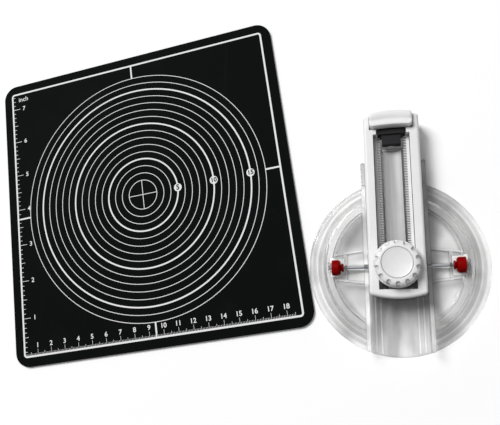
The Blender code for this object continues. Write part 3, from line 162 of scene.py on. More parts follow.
def vector_worked(tree, operation, *values):
    """The Vector Math node for these outputs or numbers."""
    node = new_node(tree, "ShaderNodeVectorMath", [("operation", operation)])
    for socket, value in zip(node.inputs, values):
        put(tree, value, socket)
    return node


def ranged(tree, value, low, high, to_low=0.0, to_high=1.0, interpolation="LINEAR"):
    """The value with one range stretched over another."""
    values = {"From_Min": low, "From_Max": high, "To_Min": to_low, "To_Max": to_high}
    settings = [("interpolation_type", interpolation)]
    node = new_node(tree, "ShaderNodeMapRange", settings, Value=value, **values)
    return node.outputs["Result"]


def mixed(tree, factor, first, second, kind="RGBA", blend="MIX"):
    settings = [("data_type", kind), ("blend_type", blend)]
    node = new_node(tree, "ShaderNodeMix", settings, Factor=factor, A=first, B=second)
    return node.outputs["Result"]


def own_place(tree):
    """Each place on the object, in its own coordinates."""
    return tree.nodes.new("ShaderNodeTexCoord").outputs["Object"]


def stretched(tree, vector, scale, turn=(0.0, 0.0, 0.0)):
    """The coordinates turned and scaled, which draws a noise out along one direction."""
    node = new_node(tree, "ShaderNodeMapping", Vector=vector, Rotation=turn, Scale=scale)
    return node.outputs["Vector"]


def noise_of(tree, vector, scale, detail, roughness=0.5):
    values = {"Scale": scale, "Detail": detail, "Roughness": roughness}
    return new_node(tree, "ShaderNodeTexNoise", Vector=vector, **values).outputs["Fac"]


def bumped(tree, height, strength, depth):
    node = new_node(tree, "ShaderNodeBump", Height=height, Strength=strength, Distance=depth)
    return node.outputs["Normal"]


def new_look(name, **plain):
    """A new material, its chart and its main shader, which gets these plain values."""
    look = bpy.data.materials.new(name)
    look.use_nodes = True
    tree = look.node_tree
    return look, tree, fed(tree, tree.nodes["Principled BSDF"], **plain)


print("helpers for nodes ready")

# %% [markdown]
# ## Light
# The white arm has its bright side up and to the left, and the knob throws a soft shadow toward
# the arm's near end. One large soft lamp, high up on the far left, makes that shadow, and an even
# pale sky fills the rest. The sky shows plain white to the camera, and also to reflections and to
# what is seen through the clear disc, while it lights the set at about a fifth of that level. The
# lamp and the sky add up to a plain level, at which a colour comes out as it is written.

# %% World and lamp
SKY_LIGHT = 0.22
HALF_A_BOUNCE = 0.5
PLAIN_WHITE = (1.0, 1.0, 1.0, 1.0)
LAMP_PLACE = Vector((-3.10, 3.20, 6.30))
LAMP_AIM = Vector((0.05, -0.02, 0.0))
LAMP_SIZE = 3.3
LAMP_WATTS = 585.0


def is_seen(tree):
    """One for rays that end in the picture straight, in a gloss or through something clear."""
    path = tree.nodes.new("ShaderNodeLightPath").outputs
    seen = worked(tree, "MAXIMUM", path["Is Camera Ray"], path["Is Glossy Ray"])
    seen = worked(tree, "MAXIMUM", seen, path["Is Transmission Ray"])
    direct = worked(tree, "LESS_THAN", path["Diffuse Depth"], HALF_A_BOUNCE)
    return worked(tree, "MULTIPLY", seen, direct)


world = bpy.data.worlds.new("pale_room")
bpy.context.scene.world = world
world.use_nodes = True
tree = world.node_tree
brightness = ranged(tree, is_seen(tree), 0.0, 1.0, SKY_LIGHT)
fed(tree, tree.nodes["Background"], Color=PLAIN_WHITE, Strength=brightness)

lamp_data = bpy.data.lights.new("soft_lamp", "AREA")
lamp_data.size = LAMP_SIZE
lamp_data.energy = LAMP_WATTS
lamp = linked("soft_lamp", lamp_data)
lamp.location = LAMP_PLACE
lamp.rotation_euler = (LAMP_AIM - LAMP_PLACE).to_track_quat("-Z", "Y").to_euler()
bpy.context.scene.view_settings.view_transform = "Standard"
print("sky at", SKY_LIGHT, "and a lamp of", LAMP_WATTS, "W")

# %% [markdown]
# ## Helpers for solids
# The cutter's parts are mouldings, turned parts and flat boards. A board or wall is an outline
# pushed up between two heights, a turned part is a profile carried round an axis, and a moulding
# is a few of these joined and cut. Real mouldings have no knife edges, and a small rounding is
# what catches the light, so outlines and profiles are rounded before they are used. Boolean
# modifiers join and cut, because they keep each piece one closed skin.

# %% Helpers for outlines and solids
SMOOTH_ANGLE = math.radians(38)
KNIFE_EDGE_ANGLE = math.radians(32)
SLIGHT_BEND = math.radians(14)
FLAT_ANGLE = math.radians(0.5)
LONGEST_ARC_SHARE = 0.45
LEAST_INSET_COSINE = 0.4
SAME_POINT = 0.00001
SAME_POINT_AFTER_CUTS = 0.001
OVER = 3.0
SINK = 0.5


def rounded(points, radius, steps=3):
    """The closed outline with each clear corner turned into an arc."""
    result = []
    count = len(points)
    for index in range(count):
        corner = Vector(points[index])
        before = corner - Vector(points[index - 1])
        after = Vector(points[(index + 1) % count]) - corner
        bend = before.angle_signed(after)
        if abs(bend) < SLIGHT_BEND:
            result.append(tuple(corner))
            continue
        reach = radius * math.tan(abs(bend) / 2)
        longest = min(before.length * LONGEST_ARC_SHARE, after.length * LONGEST_ARC_SHARE)
        reach = min(reach, longest)
        start = corner - before.normalized() * reach
        out = Vector((before.y, -before.x)).normalized() * math.copysign(1.0, bend)
        middle = start + out * (reach / math.tan(abs(bend) / 2))
        for step in range(steps + 1):
            spoke_turn = Matrix.Rotation(-bend * step / steps, 2)
            result.append(tuple(middle + spoke_turn @ (start - middle)))
    return result


def inset(outline, distance):
    """The outline, running anticlockwise, moved inward by a distance."""
    result = []
    count = len(outline)
    for index in range(count):
        here = Vector(outline[index])
        before = (here - Vector(outline[index - 1])).normalized()
        after = (Vector(outline[(index + 1) % count]) - here).normalized()
        inward = Vector((-before.y, before.x))
        middle = (inward + Vector((-after.y, after.x))).normalized()
        cosine = max(LEAST_INSET_COSINE, middle.dot(inward))
        result.append(tuple(here + middle * (distance / cosine)))
    return result


def reworked(mesh, same_point, *steps):
    """Joins the mesh's points that lie this close, then takes it through the steps."""
    shape = bmesh.new()
    shape.from_mesh(mesh)
    bmesh.ops.remove_doubles(shape, verts=shape.verts, dist=same_point)
    for step in steps:
        step(shape)
    shape.to_mesh(mesh)
    shape.free()


def faced_outward(shape):
    bmesh.ops.recalc_face_normals(shape, faces=shape.faces)


def flattened(shape):
    """Dissolves the edges between faces that lie in one plane."""
    bmesh.ops.dissolve_limit(shape, angle_limit=FLAT_ANGLE, verts=shape.verts, edges=shape.edges)


def add_body(name, vertices, faces):
    """A mesh object of these points and faces, with its faces turned outward."""
    mesh = bpy.data.meshes.new(name)
    mesh.from_pydata(vertices, [], faces)
    reworked(mesh, SAME_POINT, faced_outward)
    return linked(name, mesh)


def board(name, outline, low, high, top_round=0.0, bottom_round=0.0, steps=3):
    """The outline pushed up from one height to another, with its rims rounded."""
    area = sum(a[0] * b[1] - b[0] * a[1] for a, b in zip(outline, outline[1:] + outline[:1]))
    if area < 0:
        outline = outline[::-1]
    levels = [(low, 0.0)]
    if bottom_round > 0:
        turns = [math.pi / 2 * step / steps for step in range(steps + 1)]
        levels = [
            (low + bottom_round * (1 - math.cos(t)), bottom_round * (1 - math.sin(t)))
            for t in turns
        ]
    if top_round > 0:
        turns = [math.pi / 2 * (1 - step / steps) for step in range(steps + 1)]
        levels += [
            (high - top_round * (1 - math.cos(t)), top_round * (1 - math.sin(t))) for t in turns
        ]
    else:
        levels.append((high, 0.0))
    count = len(outline)
    vertices = []
    for height, distance in levels:
        line = inset(outline, distance) if distance > 0 else outline
        vertices += [(x, y, height) for x, y in line]
    last = (len(levels) - 1) * count
    faces = [list(range(count)), list(range(last, last + count))]
    for ring_start in range(0, last, count):
        for index in range(count):
            here, after = ring_start + index, ring_start + (index + 1) % count
            faces.append([here, after, after + count, here + count])
    return add_body(name, vertices, faces)


def block(name, low, high, rounding=0.0):
    """A block between two corners."""
    outline = [(low[0], low[1]), (high[0], low[1]), (high[0], high[1]), (low[0], high[1])]
    return board(name, rounded(outline, rounding) if rounding else outline, low[2], high[2])


def turned(name, profile, steps, along="Z"):
    """The closed profile of (radius, height) carried round an axis."""
    count = len(profile)
    vertices = []
    for step in range(steps):
        angle = math.tau * step / steps
        cosine, sine = math.cos(angle), math.sin(angle)
        for radius, height in profile:
            point = (radius * cosine, radius * sine, height)
            if along == "X":
                point = (height, radius * cosine, radius * sine)
            if along == "Y":
                point = (radius * sine, height, radius * cosine)
            vertices.append(point)
    faces = []
    for step in range(steps):
        here, there = step * count, (step + 1) % steps * count
        for index in range(count):
            after = (index + 1) % count
            if profile[index][0] > 0 or profile[after][0] > 0:
                faces.append([here + index, there + index, there + after, here + after])
    return add_body(name, vertices, faces)


def rod(name, radius, start, end, steps=32, along="Z"):
    """A round bar between two heights, closed at both ends."""
    return turned(name, [(0.0, start), (radius, start), (radius, end), (0.0, end)], steps, along)


def shifted(body, x=0.0, y=0.0, z=0.0):
    """The body with its mesh moved, while its origin stays."""
    body.data.transform(Matrix.Translation((x, y, z)))
    return body


def final_mesh(body):
    """A new mesh of what the body looks like in the end."""
    graph = bpy.context.evaluated_depsgraph_get()
    return bpy.data.meshes.new_from_object(body.evaluated_get(graph))


def applied(body):
    """The body with its modifiers worked into its mesh."""
    mesh = final_mesh(body)
    body.modifiers.clear()
    body.data = mesh
    return body


def combined(body, operation, tools):
    """The body after an exact boolean with each tool, which is used up."""
    for tool in tools:
        modifier = body.modifiers.new(operation, "BOOLEAN")
        modifier.operation = operation
        modifier.solver = "EXACT"
        modifier.object = tool
        applied(body)
        bpy.data.objects.remove(tool)
    return body


def cut(body, *tools):
    return combined(body, "DIFFERENCE", tools)


def joined(body, *tools):
    return combined(body, "UNION", tools)


def eased(body, width, steps=2):
    """The body with every clear edge broken by a small bevel."""
    reworked(body.data, SAME_POINT_AFTER_CUTS, flattened)
    bevel = body.modifiers.new("bevel", "BEVEL")
    bevel.width = width
    bevel.segments = steps
    bevel.limit_method = "ANGLE"
    bevel.angle_limit = KNIFE_EDGE_ANGLE
    bevel.use_clamp_overlap = False
    bevel.miter_outer = "MITER_ARC"
    return applied(body)


def copy_of(node):
    """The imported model's own solid as a new body, drawn in millimetres from the axis."""
    mesh = frame["nodes"][node].data.copy()
    mesh.transform(TO_FRAME.inverted())
    mesh.materials.clear()
    return linked(node, mesh)


def placed(body, look, rides_on, slot, *nodes):
    """The body goes to its real place, gets its finish, and rides on what moves it."""
    body.data.transform(TO_FRAME)
    body.data.materials.clear()
    body.data.materials.append(look)
    for face in body.data.polygons:
        face.use_smooth = True
    body.data.set_sharp_from_angle(angle=SMOOTH_ANGLE)
    weighted = body.modifiers.new("weighted", "WEIGHTED_NORMAL")
    weighted.keep_sharp = True
    applied(body)
    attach(body, rides_on)
    if nodes:
        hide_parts(*nodes)
    print(body.name, "has", len(body.data.polygons), "faces and rides on", rides_on)
    return body


# %% [markdown]
# ## Shared surface effects
# A moulded plastic is never one colour: its skin has a fine grain from the mould, and hands leave
# faint dull patches on it. Both are used by several finishes, so each is a node group that is
# built once and placed in a material with that finish's own values. A group puts out only values
# that change over the surface. What shines stays in the material.

# %% Node group: mould grain
def new_group(name, inputs, outputs):
    group = bpy.data.node_groups.new(name, "ShaderNodeTree")
    for label, value in inputs:
        socket = group.interface.new_socket(label, in_out="INPUT", socket_type="NodeSocketFloat")
        socket.default_value = value
    for label in outputs:
        group.interface.new_socket(label, in_out="OUTPUT", socket_type="NodeSocketFloat")
    given = group.nodes.new("NodeGroupInput").outputs
    return group, given, group.nodes.new("NodeGroupOutput")


def placed_group(tree, group, **values):
    """What the group gives, once it is placed in a material with these values."""
    return new_node(tree, "ShaderNodeGroup", [("node_tree", group)], **values).outputs


grain, given, grain_out = new_group(
    "mould_grain", [("Grain per metre", 2600.0), ("Waves per metre", 90.0)], ["Height", "Cloud"]
)
place = own_place(grain)
fine = noise_of(grain, place, given["Grain per metre"], detail=3.0, roughness=0.6)
broad = noise_of(grain, place, given["Waves per metre"], detail=2.0)
fed(grain, grain_out, Height=fine, Cloud=broad)
print("built", grain.name)

# %% [markdown]
# Handling marks are soft smears with a few thin scuffs across them. One noise, cut off at its
# peaks, gives the smears, and a second one, stretched along one direction, gives the scuffs.

# %% Node group: handling marks
SMEAR_FROM, SMEAR_TO = 0.52, 0.72
SCUFF_FROM, SCUFF_TO = 0.66, 0.72
SCUFF_TURN = (0.0, 0.0, 0.7)
SCUFF_STRETCH = (1.0, 0.04, 1.0)

handling, given, handling_out = new_group(
    "handling_marks", [("Smears per metre", 60.0), ("Scuffs per metre", 300.0)], ["Mask"]
)
place = own_place(handling)
smear = noise_of(handling, place, given["Smears per metre"], detail=4.0, roughness=0.65)
smear = ranged(handling, smear, SMEAR_FROM, SMEAR_TO)
drawn_out = stretched(handling, place, SCUFF_STRETCH, SCUFF_TURN)
scuff = noise_of(handling, drawn_out, given["Scuffs per metre"], detail=2.0)
scuff = ranged(handling, scuff, SCUFF_FROM, SCUFF_TO)
fed(handling, handling_out, Mask=worked(handling, "MAXIMUM", smear, scuff))
print("built", handling.name)

# %% [markdown]
# Corners that face each other get less light, and this group paints that shade into the colour.
# Ambient occlusion finds them over a short distance, and the group turns it into a mask that is one
# in the open.

# %% Node group: painted shade in creases
CREASE_SAMPLES = 6

crease_shade, given, crease_shade_out = new_group("painted_crease_shade_group", [("Reach in metres", 0.002)], ["Open"])
settings = [("samples", CREASE_SAMPLES), ("only_local", True)]
reach = given["Reach in metres"]
occlusion = new_node(crease_shade, "ShaderNodeAmbientOcclusion", settings, Distance=reach)
fed(crease_shade, crease_shade_out, Open=occlusion.outputs["AO"])
print("built", crease_shade.name)

# %% [markdown]
# ## Moulded plastics
# The arm, knob, press pad and combs are white ABS, the holder is black, the rollers are a deep
# red and the foot is grey. They share one way of being built: the colour turns slightly with the
# broad waves and is darkened in creases by painted shade, the roughness rises under handling marks,
# and the mould's grain bumps the skin. Each has its own numbers.

# %% Moulded plastic
CLOUD_FROM, CLOUD_TO, CLOUD_LEAST = 0.3, 0.7, 0.9
GRAIN_STRENGTH = 0.5
WHITE = (0.80, 0.80, 0.80)


def moulded(name, colour, cloud_and_shade_colour, rough, dull, specular, grain_size, depth):
    look, tree, shader = new_look(name, Specular_IOR_Level=specular)
    grained = placed_group(tree, grain, Grain_per_metre=1 / grain_size)
    marked = placed_group(tree, handling)
    painted_crease_shade = placed_group(tree, crease_shade)
    cloud = ranged(tree, grained["Cloud"], CLOUD_FROM, CLOUD_TO, CLOUD_LEAST)
    share = worked(tree, "MULTIPLY", cloud, painted_crease_shade["Open"])
    tint = mixed(tree, share, (*cloud_and_shade_colour, 1.0), (*colour, 1.0))
    shine = ranged(tree, marked["Mask"], 0.0, 1.0, rough, dull)
    skin = bumped(tree, grained["Height"], GRAIN_STRENGTH, depth)
    fed(tree, shader, Base_Color=tint, Roughness=shine, Normal=skin)
    return look


# The second colour of each finish is the painted shade in its creases and the low end of the broad
# waves.
arm_white = moulded(
    "arm_white", WHITE, (0.42, 0.42, 0.43),
    rough=0.36, dull=0.5, specular=0.4, grain_size=0.00035, depth=0.00001,
)
# The combs' second colour is a painted shade, nearly black, for the gaps between their teeth.
rack_white = moulded(
    "rack_white", (0.78, 0.78, 0.78), (0.03, 0.03, 0.03),
    rough=0.42, dull=0.52, specular=0.35, grain_size=0.00030, depth=0.00001,
)
pad_white = moulded(
    "pad_white", WHITE, (0.40, 0.40, 0.41),
    rough=0.40, dull=0.55, specular=0.4, grain_size=0.00030, depth=0.000014,
)
knob_white = moulded(
    "knob_white", WHITE, (0.16, 0.16, 0.17),
    rough=0.30, dull=0.46, specular=0.45, grain_size=0.00035, depth=0.00001,
)
holder_black = moulded(
    "holder_black", (0.008, 0.008, 0.009), (0.003, 0.003, 0.003),
    rough=0.42, dull=0.6, specular=0.12, grain_size=0.00030, depth=0.00001,
)
roller_red = moulded(
    "roller_red", (0.225, 0.0005, 0.0005), (0.08, 0.0, 0.0),
    rough=0.34, dull=0.46, specular=0.04, grain_size=0.00040, depth=0.000008,
)
foot_grey = moulded(
    "foot_grey", (0.42, 0.43, 0.44), (0.2, 0.2, 0.21),
    rough=0.45, dull=0.6, specular=0.35, grain_size=0.00035, depth=0.00001,
)
pad_rubber = moulded(
    "pad_rubber", (0.03, 0.03, 0.032), (0.01, 0.01, 0.01),
    rough=0.78, dull=0.9, specular=0.15, grain_size=0.00050, depth=0.00004,
)
print("moulded plastics ready")

# %% [markdown]
# The arm's slot, below its upper edge, carries a painted shade that makes it greyer than the rest
# of the arm, with faint streaks along it. Where the slot is comes from the height and from the
# distances across and along from the slot's middle, taken from the object's own coordinates.

# %% Painted shade in the arm's slot
SLOT_PAINTED_SHADE = 0.56
SLOT_EDGE, SLOT_FADE = 0.0103, 0.0002
SLOT_MIDDLE, SLOT_HALF_LENGTH = 0.0317, 0.0457
SLOT_DEEP, SLOT_OPEN = 0.0085, 0.0150
STREAKS_PER_METRE = 700.0
STREAK_STRETCH = (1.0, 0.03, 1.0)
STREAK_FROM, STREAK_TO, STREAK_LEAST = 0.35, 0.65, 0.85


def from_point(tree, point):
    """Each place on the object, counted from this point."""
    return vector_worked(tree, "SUBTRACT", own_place(tree), point).outputs["Vector"]


def parts_of(tree, vector):
    """The X, Y and Z of a vector."""
    return new_node(tree, "ShaderNodeSeparateXYZ", Vector=vector).outputs


tree = arm_white.node_tree
base_colour = tree.nodes["Principled BSDF"].inputs["Base Color"]
whole = base_colour.links[0].from_socket
from_middle = from_point(tree, (AXIS.x, AXIS.y + SLOT_MIDDLE, 0.0))
parts = parts_of(tree, from_middle)
unshaded = ranged(tree, parts["Z"], SLOT_DEEP, SLOT_OPEN)
for direction, half in (("X", SLOT_EDGE), ("Y", SLOT_HALF_LENGTH)):
    distance = worked(tree, "ABSOLUTE", parts[direction])
    unshaded = worked(tree, "MAXIMUM", unshaded, ranged(tree, distance, half, half + SLOT_FADE))
drawn_out = stretched(tree, from_middle, STREAK_STRETCH)
streaks = noise_of(tree, drawn_out, STREAKS_PER_METRE, detail=3.0)
grey = ranged(tree, streaks, STREAK_FROM, STREAK_TO, SLOT_PAINTED_SHADE * STREAK_LEAST, SLOT_PAINTED_SHADE)
kept = mixed(tree, unshaded, grey, 1.0, "FLOAT")
put(tree, mixed(tree, 1.0, whole, kept, blend="MULTIPLY"), base_colour)
print("grey in the slot below", SLOT_OPEN * 1000, "mm")

# %% [markdown]
# ## Steel
# The screws, axles, springs and yoke are turned or stamped steel. A noise that is squeezed along
# one direction gives the fine lines that the tool left, both as a bump and as a change of shine.

# %% Steel with tool marks
MARK_DARKNESS = 0.8
MARK_STRENGTH, MARK_DEPTH = 0.3, 0.00001


def steel_look(name, colour, rough, spread, lines, squeeze):
    look, tree, shader = new_look(name, Metallic=1.0)
    squeezed = stretched(tree, own_place(tree), squeeze)
    marks = noise_of(tree, squeezed, lines, detail=3.0, roughness=0.6)
    dark = (*[channel * MARK_DARKNESS for channel in colour], 1.0)
    tint = mixed(tree, marks, dark, (*colour, 1.0))
    shine = ranged(tree, marks, 0.0, 1.0, rough, rough + spread)
    skin = bumped(tree, marks, MARK_STRENGTH, MARK_DEPTH)
    fed(tree, shader, Base_Color=tint, Roughness=shine, Normal=skin)
    return look


steel = steel_look(
    "steel", (0.62, 0.62, 0.63),
    rough=0.24, spread=0.2, lines=2500.0, squeeze=(1.0, 1.0, 0.1),
)
# The axles get a darker copy of the steel, whose darkness is painted shade.
shaded_axle_steel = steel_look(
    "shaded_axle_steel", (0.30, 0.31, 0.32),
    rough=0.42, spread=0.2, lines=2500.0, squeeze=(0.1, 1.0, 1.0),
)
blade_steel = steel_look(
    "blade_steel", (0.72, 0.73, 0.74),
    rough=0.16, spread=0.18, lines=3200.0, squeeze=(0.1, 1.0, 0.1),
)
print("steels ready")

# %% [markdown]
# ## Clear plastic
# The disc is one clear moulding of polycarbonate, and a fully clear shader bends light through
# every wall and rib. In a plain white room that alone stays too pale, so light and shade are painted
# into the plastic's tint by height, which sets the grey bands of rim, flange and ring, and painted
# shade darkens its creases. Slow waves break the bands up, both as clouds in the tint and as a bump.
# The raised ring has a fine haze, which the distance from the axis places. Light on its way from a
# lamp would stop at a clear shader, so for shadow rays the material is a pale see-through tint
# instead.

# %% Clear plastic: values
PLASTIC_IOR = 1.5
SHADOW_TINT = (0.725, 0.725, 0.725, 1.0)
CREASE_SHADE_TINT = (0.14, 0.14, 0.14, 1.0)
CREASE_SHADE_REACH = 0.0014
GUIDE_HEIGHT = 0.0115
# Brightness of the painted light and shade, at shares of the guide wall's height.
LIGHT_AND_SHADE_STOP_SHARES = (
    (0.05, 0.76),
    (0.21, 0.74),
    (0.27, 0.48),
    (0.36, 0.50),
    (0.385, 0.82),
    (0.41, 0.82),
    (0.44, 0.48),
    (0.62, 0.46),
    (0.72, 0.68),
    (0.95, 0.84),
)
WAVES_PER_METRE, BENDS_PER_METRE = 35.0, 160.0
WAVE_FROM, WAVE_TO, WAVE_LEAST = 0.38, 0.58, 0.66
BEND_STRENGTH, BEND_DEPTH = 0.4, 0.0003
SMEARS_ON_CLEAR = 45.0
CLEAR_ROUGHNESS, SMEARED_ROUGHNESS, HAZE_ROUGHNESS = 0.03, 0.06, 0.2
HAZE_INNER, HAZE_OUTER, HAZE_FADE = 0.0365, 0.0425, 0.0008
print("tint set at", len(LIGHT_AND_SHADE_STOP_SHARES), "heights")

# %% [markdown]
# A painted shadow darkens the floor of the channel, most of all near the middle. That patch lies
# between the guide walls and below the rails, which stay clear. It grows lighter along the channel
# and ends a little brighter than the rest, which is painted light, and a noise that is drawn out the
# same way breaks it into long patches.

# %% Clear plastic
SHADOW_PATCH_HALF, SHADOW_PATCH_HEIGHT, SHADOW_PATCH_FADE = 0.0160, 0.0041, 0.0002
SHADOW_DARKEST_TO, SHADOW_FADED_AT = 0.020, 0.046
PAINTED_SHADOW_TINT, PAINTED_LIGHT_TINT = 0.42, 1.15
PATCHES_PER_METRE = 120.0
PATCH_STRETCH = (1.0, 0.3, 1.0)
PATCH_FROM, PATCH_TO, PATCH_LEAST = 0.38, 0.62, 0.66

clear_plastic, tree, shader = new_look("clear_plastic", Transmission_Weight=1.0, IOR=PLASTIC_IOR)
flow = placed_group(tree, grain, Grain_per_metre=BENDS_PER_METRE, Waves_per_metre=WAVES_PER_METRE)
marked = placed_group(tree, handling, Smears_per_metre=SMEARS_ON_CLEAR)
from_axis = from_point(tree, (AXIS.x, AXIS.y, 0.0))
parts = parts_of(tree, from_axis)

level_out = vector_worked(tree, "MULTIPLY", from_axis, (1.0, 1.0, 0.0)).outputs["Vector"]
radius = vector_worked(tree, "LENGTH", level_out).outputs["Value"]
inside = ranged(tree, radius, HAZE_INNER - HAZE_FADE, HAZE_INNER)
outside = ranged(tree, radius, HAZE_OUTER + HAZE_FADE, HAZE_OUTER)
haze = worked(tree, "MULTIPLY", inside, outside)
shine = ranged(tree, marked["Mask"], 0.0, 1.0, CLEAR_ROUGHNESS, SMEARED_ROUGHNESS)
dulled = worked(tree, "MULTIPLY_ADD", haze, HAZE_ROUGHNESS, shine)

height_share = ranged(tree, parts["Z"], 0.0, GUIDE_HEIGHT)
painted_by_height = new_node(tree, "ShaderNodeValToRGB", Fac=height_share)
stops = painted_by_height.color_ramp.elements
for place, brightness in LIGHT_AND_SHADE_STOP_SHARES:
    stop = stops.new(place)
    stop.color = (brightness, brightness, brightness, 1.0)
stops.remove(stops[0])
stops.remove(stops[len(stops) - 1])
cloudy = ranged(tree, flow["Cloud"], WAVE_FROM, WAVE_TO, WAVE_LEAST)

aside, along = [worked(tree, "ABSOLUTE", parts[direction]) for direction in "XY"]
in_channel = ranged(tree, aside, SHADOW_PATCH_HALF + SHADOW_PATCH_FADE, SHADOW_PATCH_HALF)
under_rails = ranged(tree, parts["Z"], SHADOW_PATCH_HEIGHT + SHADOW_PATCH_FADE, SHADOW_PATCH_HEIGHT)
on_floor = worked(tree, "MULTIPLY", in_channel, under_rails)
by_length = ranged(tree, along, SHADOW_DARKEST_TO, SHADOW_FADED_AT, PAINTED_SHADOW_TINT, PAINTED_LIGHT_TINT)
drawn_out = stretched(tree, from_axis, PATCH_STRETCH)
patches = noise_of(tree, drawn_out, PATCHES_PER_METRE, detail=2.0)
patches = ranged(tree, patches, PATCH_FROM, PATCH_TO, PATCH_LEAST)
painted_shadow = worked(tree, "MULTIPLY", by_length, patches)
shaded = mixed(tree, on_floor, cloudy, painted_shadow, "FLOAT")

clouded = mixed(tree, 1.0, painted_by_height.outputs["Color"], shaded, blend="MULTIPLY")
painted_crease_shade = placed_group(tree, crease_shade, Reach_in_metres=CREASE_SHADE_REACH)
crease_shaded = mixed(tree, painted_crease_shade["Open"], CREASE_SHADE_TINT, clouded)
bends = bumped(tree, flow["Height"], BEND_STRENGTH, BEND_DEPTH)
fed(tree, shader, Base_Color=crease_shaded, Roughness=dulled, Normal=bends)

see_through = new_node(tree, "ShaderNodeBsdfTransparent", Color=SHADOW_TINT)
path = tree.nodes.new("ShaderNodeLightPath").outputs
chosen = new_node(tree, "ShaderNodeMixShader", Fac=path["Is Shadow Ray"])
put(tree, shader.outputs["BSDF"], chosen.inputs[1])
put(tree, see_through.outputs["BSDF"], chosen.inputs[2])
fed(tree, tree.nodes["Material Output"], Surface=chosen.outputs["Shader"])
print("clear plastic ready")

# %% [markdown]
# ## The mat's two finishes
# The mat is a matt black board with a fine pebbled skin, a little less black where blades have
# scored it. Its print is white ink that takes the pebbles of the board and is worn thin in spots.

# %% Mat board and ink
MAT_WAVES, MAT_SMEARS, MAT_SCUFFS = 30.0, 25.0, 160.0
MAT_DULLING = 0.12
PEBBLE_STRENGTH = 0.6


def mat_look(name, colour, worn_colour, rough, specular, pebble, depth):
    look, tree, shader = new_look(name, Specular_IOR_Level=specular)
    grained = placed_group(tree, grain, Grain_per_metre=1 / pebble, Waves_per_metre=MAT_WAVES)
    marked = placed_group(
        tree, handling, Smears_per_metre=MAT_SMEARS, Scuffs_per_metre=MAT_SCUFFS
    )
    worn = worked(tree, "MULTIPLY", marked["Mask"], grained["Cloud"])
    tint = mixed(tree, worn, (*colour, 1.0), (*worn_colour, 1.0))
    shine = ranged(tree, grained["Cloud"], 0.0, 1.0, rough, rough + MAT_DULLING)
    skin = bumped(tree, grained["Height"], PEBBLE_STRENGTH, depth)
    fed(tree, shader, Base_Color=tint, Roughness=shine, Normal=skin)
    return look


mat_black = mat_look(
    "mat_black", (0.0026, 0.0034, 0.0034), (0.0055, 0.0065, 0.0065),
    rough=0.6, specular=0.02, pebble=0.0005, depth=0.00005,
)
ink_white = mat_look(
    "ink_white", WHITE, (0.66, 0.66, 0.66),
    rough=0.6, specular=0.2, pebble=0.0005, depth=0.00002,
)
print("mat finishes ready")

# %% [markdown]
# ## The floor
# The set stands on plain white. The floor is a broad plate that the camera sees as white, and it
# still takes the shadow: it is a pale surface with a little light of its own for the rays that
# end in the picture, so that the lit floor reaches white and the shaded floor stays grey. Further
# out than any shadow falls, that light rises, so that the floor meets the sky without a line.

# %% Floor
FLOOR_HALF_WIDTH = 2.5
FLOOR_DROP = 0.00005
FLOOR_COLOUR = (0.97, 0.97, 0.97, 1.0)
FLOOR_LIFT = 0.05
FAR_FROM, FAR_TO = 0.16, 1.10

floor_look, tree, shader = new_look(
    "pale_floor",
    Base_Color=FLOOR_COLOUR,
    Roughness=1.0,
    Specular_IOR_Level=0.0,
    Emission_Color=PLAIN_WHITE,
)
far_off = vector_worked(tree, "LENGTH", own_place(tree)).outputs["Value"]
lift = ranged(tree, far_off, FAR_FROM, FAR_TO, FLOOR_LIFT, 1.0, "SMOOTHERSTEP")
fed(tree, shader, Emission_Strength=worked(tree, "MULTIPLY", is_seen(tree), lift))
edge = FLOOR_HALF_WIDTH
corners = [(-edge, -edge), (edge, -edge), (edge, edge), (-edge, edge)]
floor = add_body("floor", [(x, y, -FLOOR_DROP) for x, y in corners], [(0, 1, 2, 3)])
floor.data.materials.append(floor_look)
print("floor ready")

# %% [markdown]
# ## The mat board
# A square sheet of PVC with round corners, a little turned on the table. It is one outline pushed
# up two millimetres, with both rims eased, which is all the shape the real board has. Its place is
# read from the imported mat's box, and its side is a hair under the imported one, to stay inside it.

# %% Mat board
MAT_SIDE = 202.97
MAT_CORNER = 10.0
MAT_TURN = math.radians(8.0)
MAT_TOP = 2.0
MAT_EDGE = 0.35
mat_low, mat_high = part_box("cutting_mat")
MAT_MIDDLE = TO_FRAME.inverted() @ ((Vector(mat_low) + Vector(mat_high)) / 2)
ON_MAT = Matrix.Translation((MAT_MIDDLE.x, MAT_MIDDLE.y, 0.0)) @ Matrix.Rotation(MAT_TURN, 4, "Z")


def corner_square(half, radius, steps=14):
    """A square outline with true quarter rounds at its corners."""
    points = []
    for quarter in range(4):
        for step in range(steps + 1):
            angle = math.pi / 2 * (quarter + step / steps)
            x = (half - radius) * (1 if quarter in (0, 3) else -1) + radius * math.cos(angle)
            y = (half - radius) * (1 if quarter in (0, 1) else -1) + radius * math.sin(angle)
            points.append((x, y))
    return points


mat_board = board(
    "mat_board", corner_square(MAT_SIDE / 2, MAT_CORNER), 0.0, MAT_TOP, MAT_EDGE, MAT_EDGE / 2
)
mat_board.data.transform(ON_MAT)
placed(mat_board, mat_black, "base", "mat_black", "cutting_mat")

# %% [markdown]
# ## The mat's print
# The print is a frame, two rulers along its edges, rings in centimetre steps, a cross in the
# smallest ring and short marks at the middle of each side. Ink has a real thickness, so each line
# is a flat band two hundredths of a millimetre high that lies on the board. That stays sharp from
# every distance, which a painted texture would not. All of it is generic measuring marks.

# %% Bands and figures of the print
INK_HEIGHT = 0.02
INK_SUNK = 0.05
FINE_LINE = 0.42
RING_STEPS = 144
FIGURE_HEIGHT = 3.1
FIGURE_WEIGHT = 0.024
LETTER_SIZE_SHARE = 1.4
LETTER_STEPS = 4
SAME_LETTER_POINT = 0.0001
print_parts = []


def ink(body, high=0.0):
    """Keeps a part of the print, laid on the board."""
    body.data.transform(ON_MAT @ Matrix.Translation((0.0, 0.0, MAT_TOP + high)))
    print_parts.append(body)


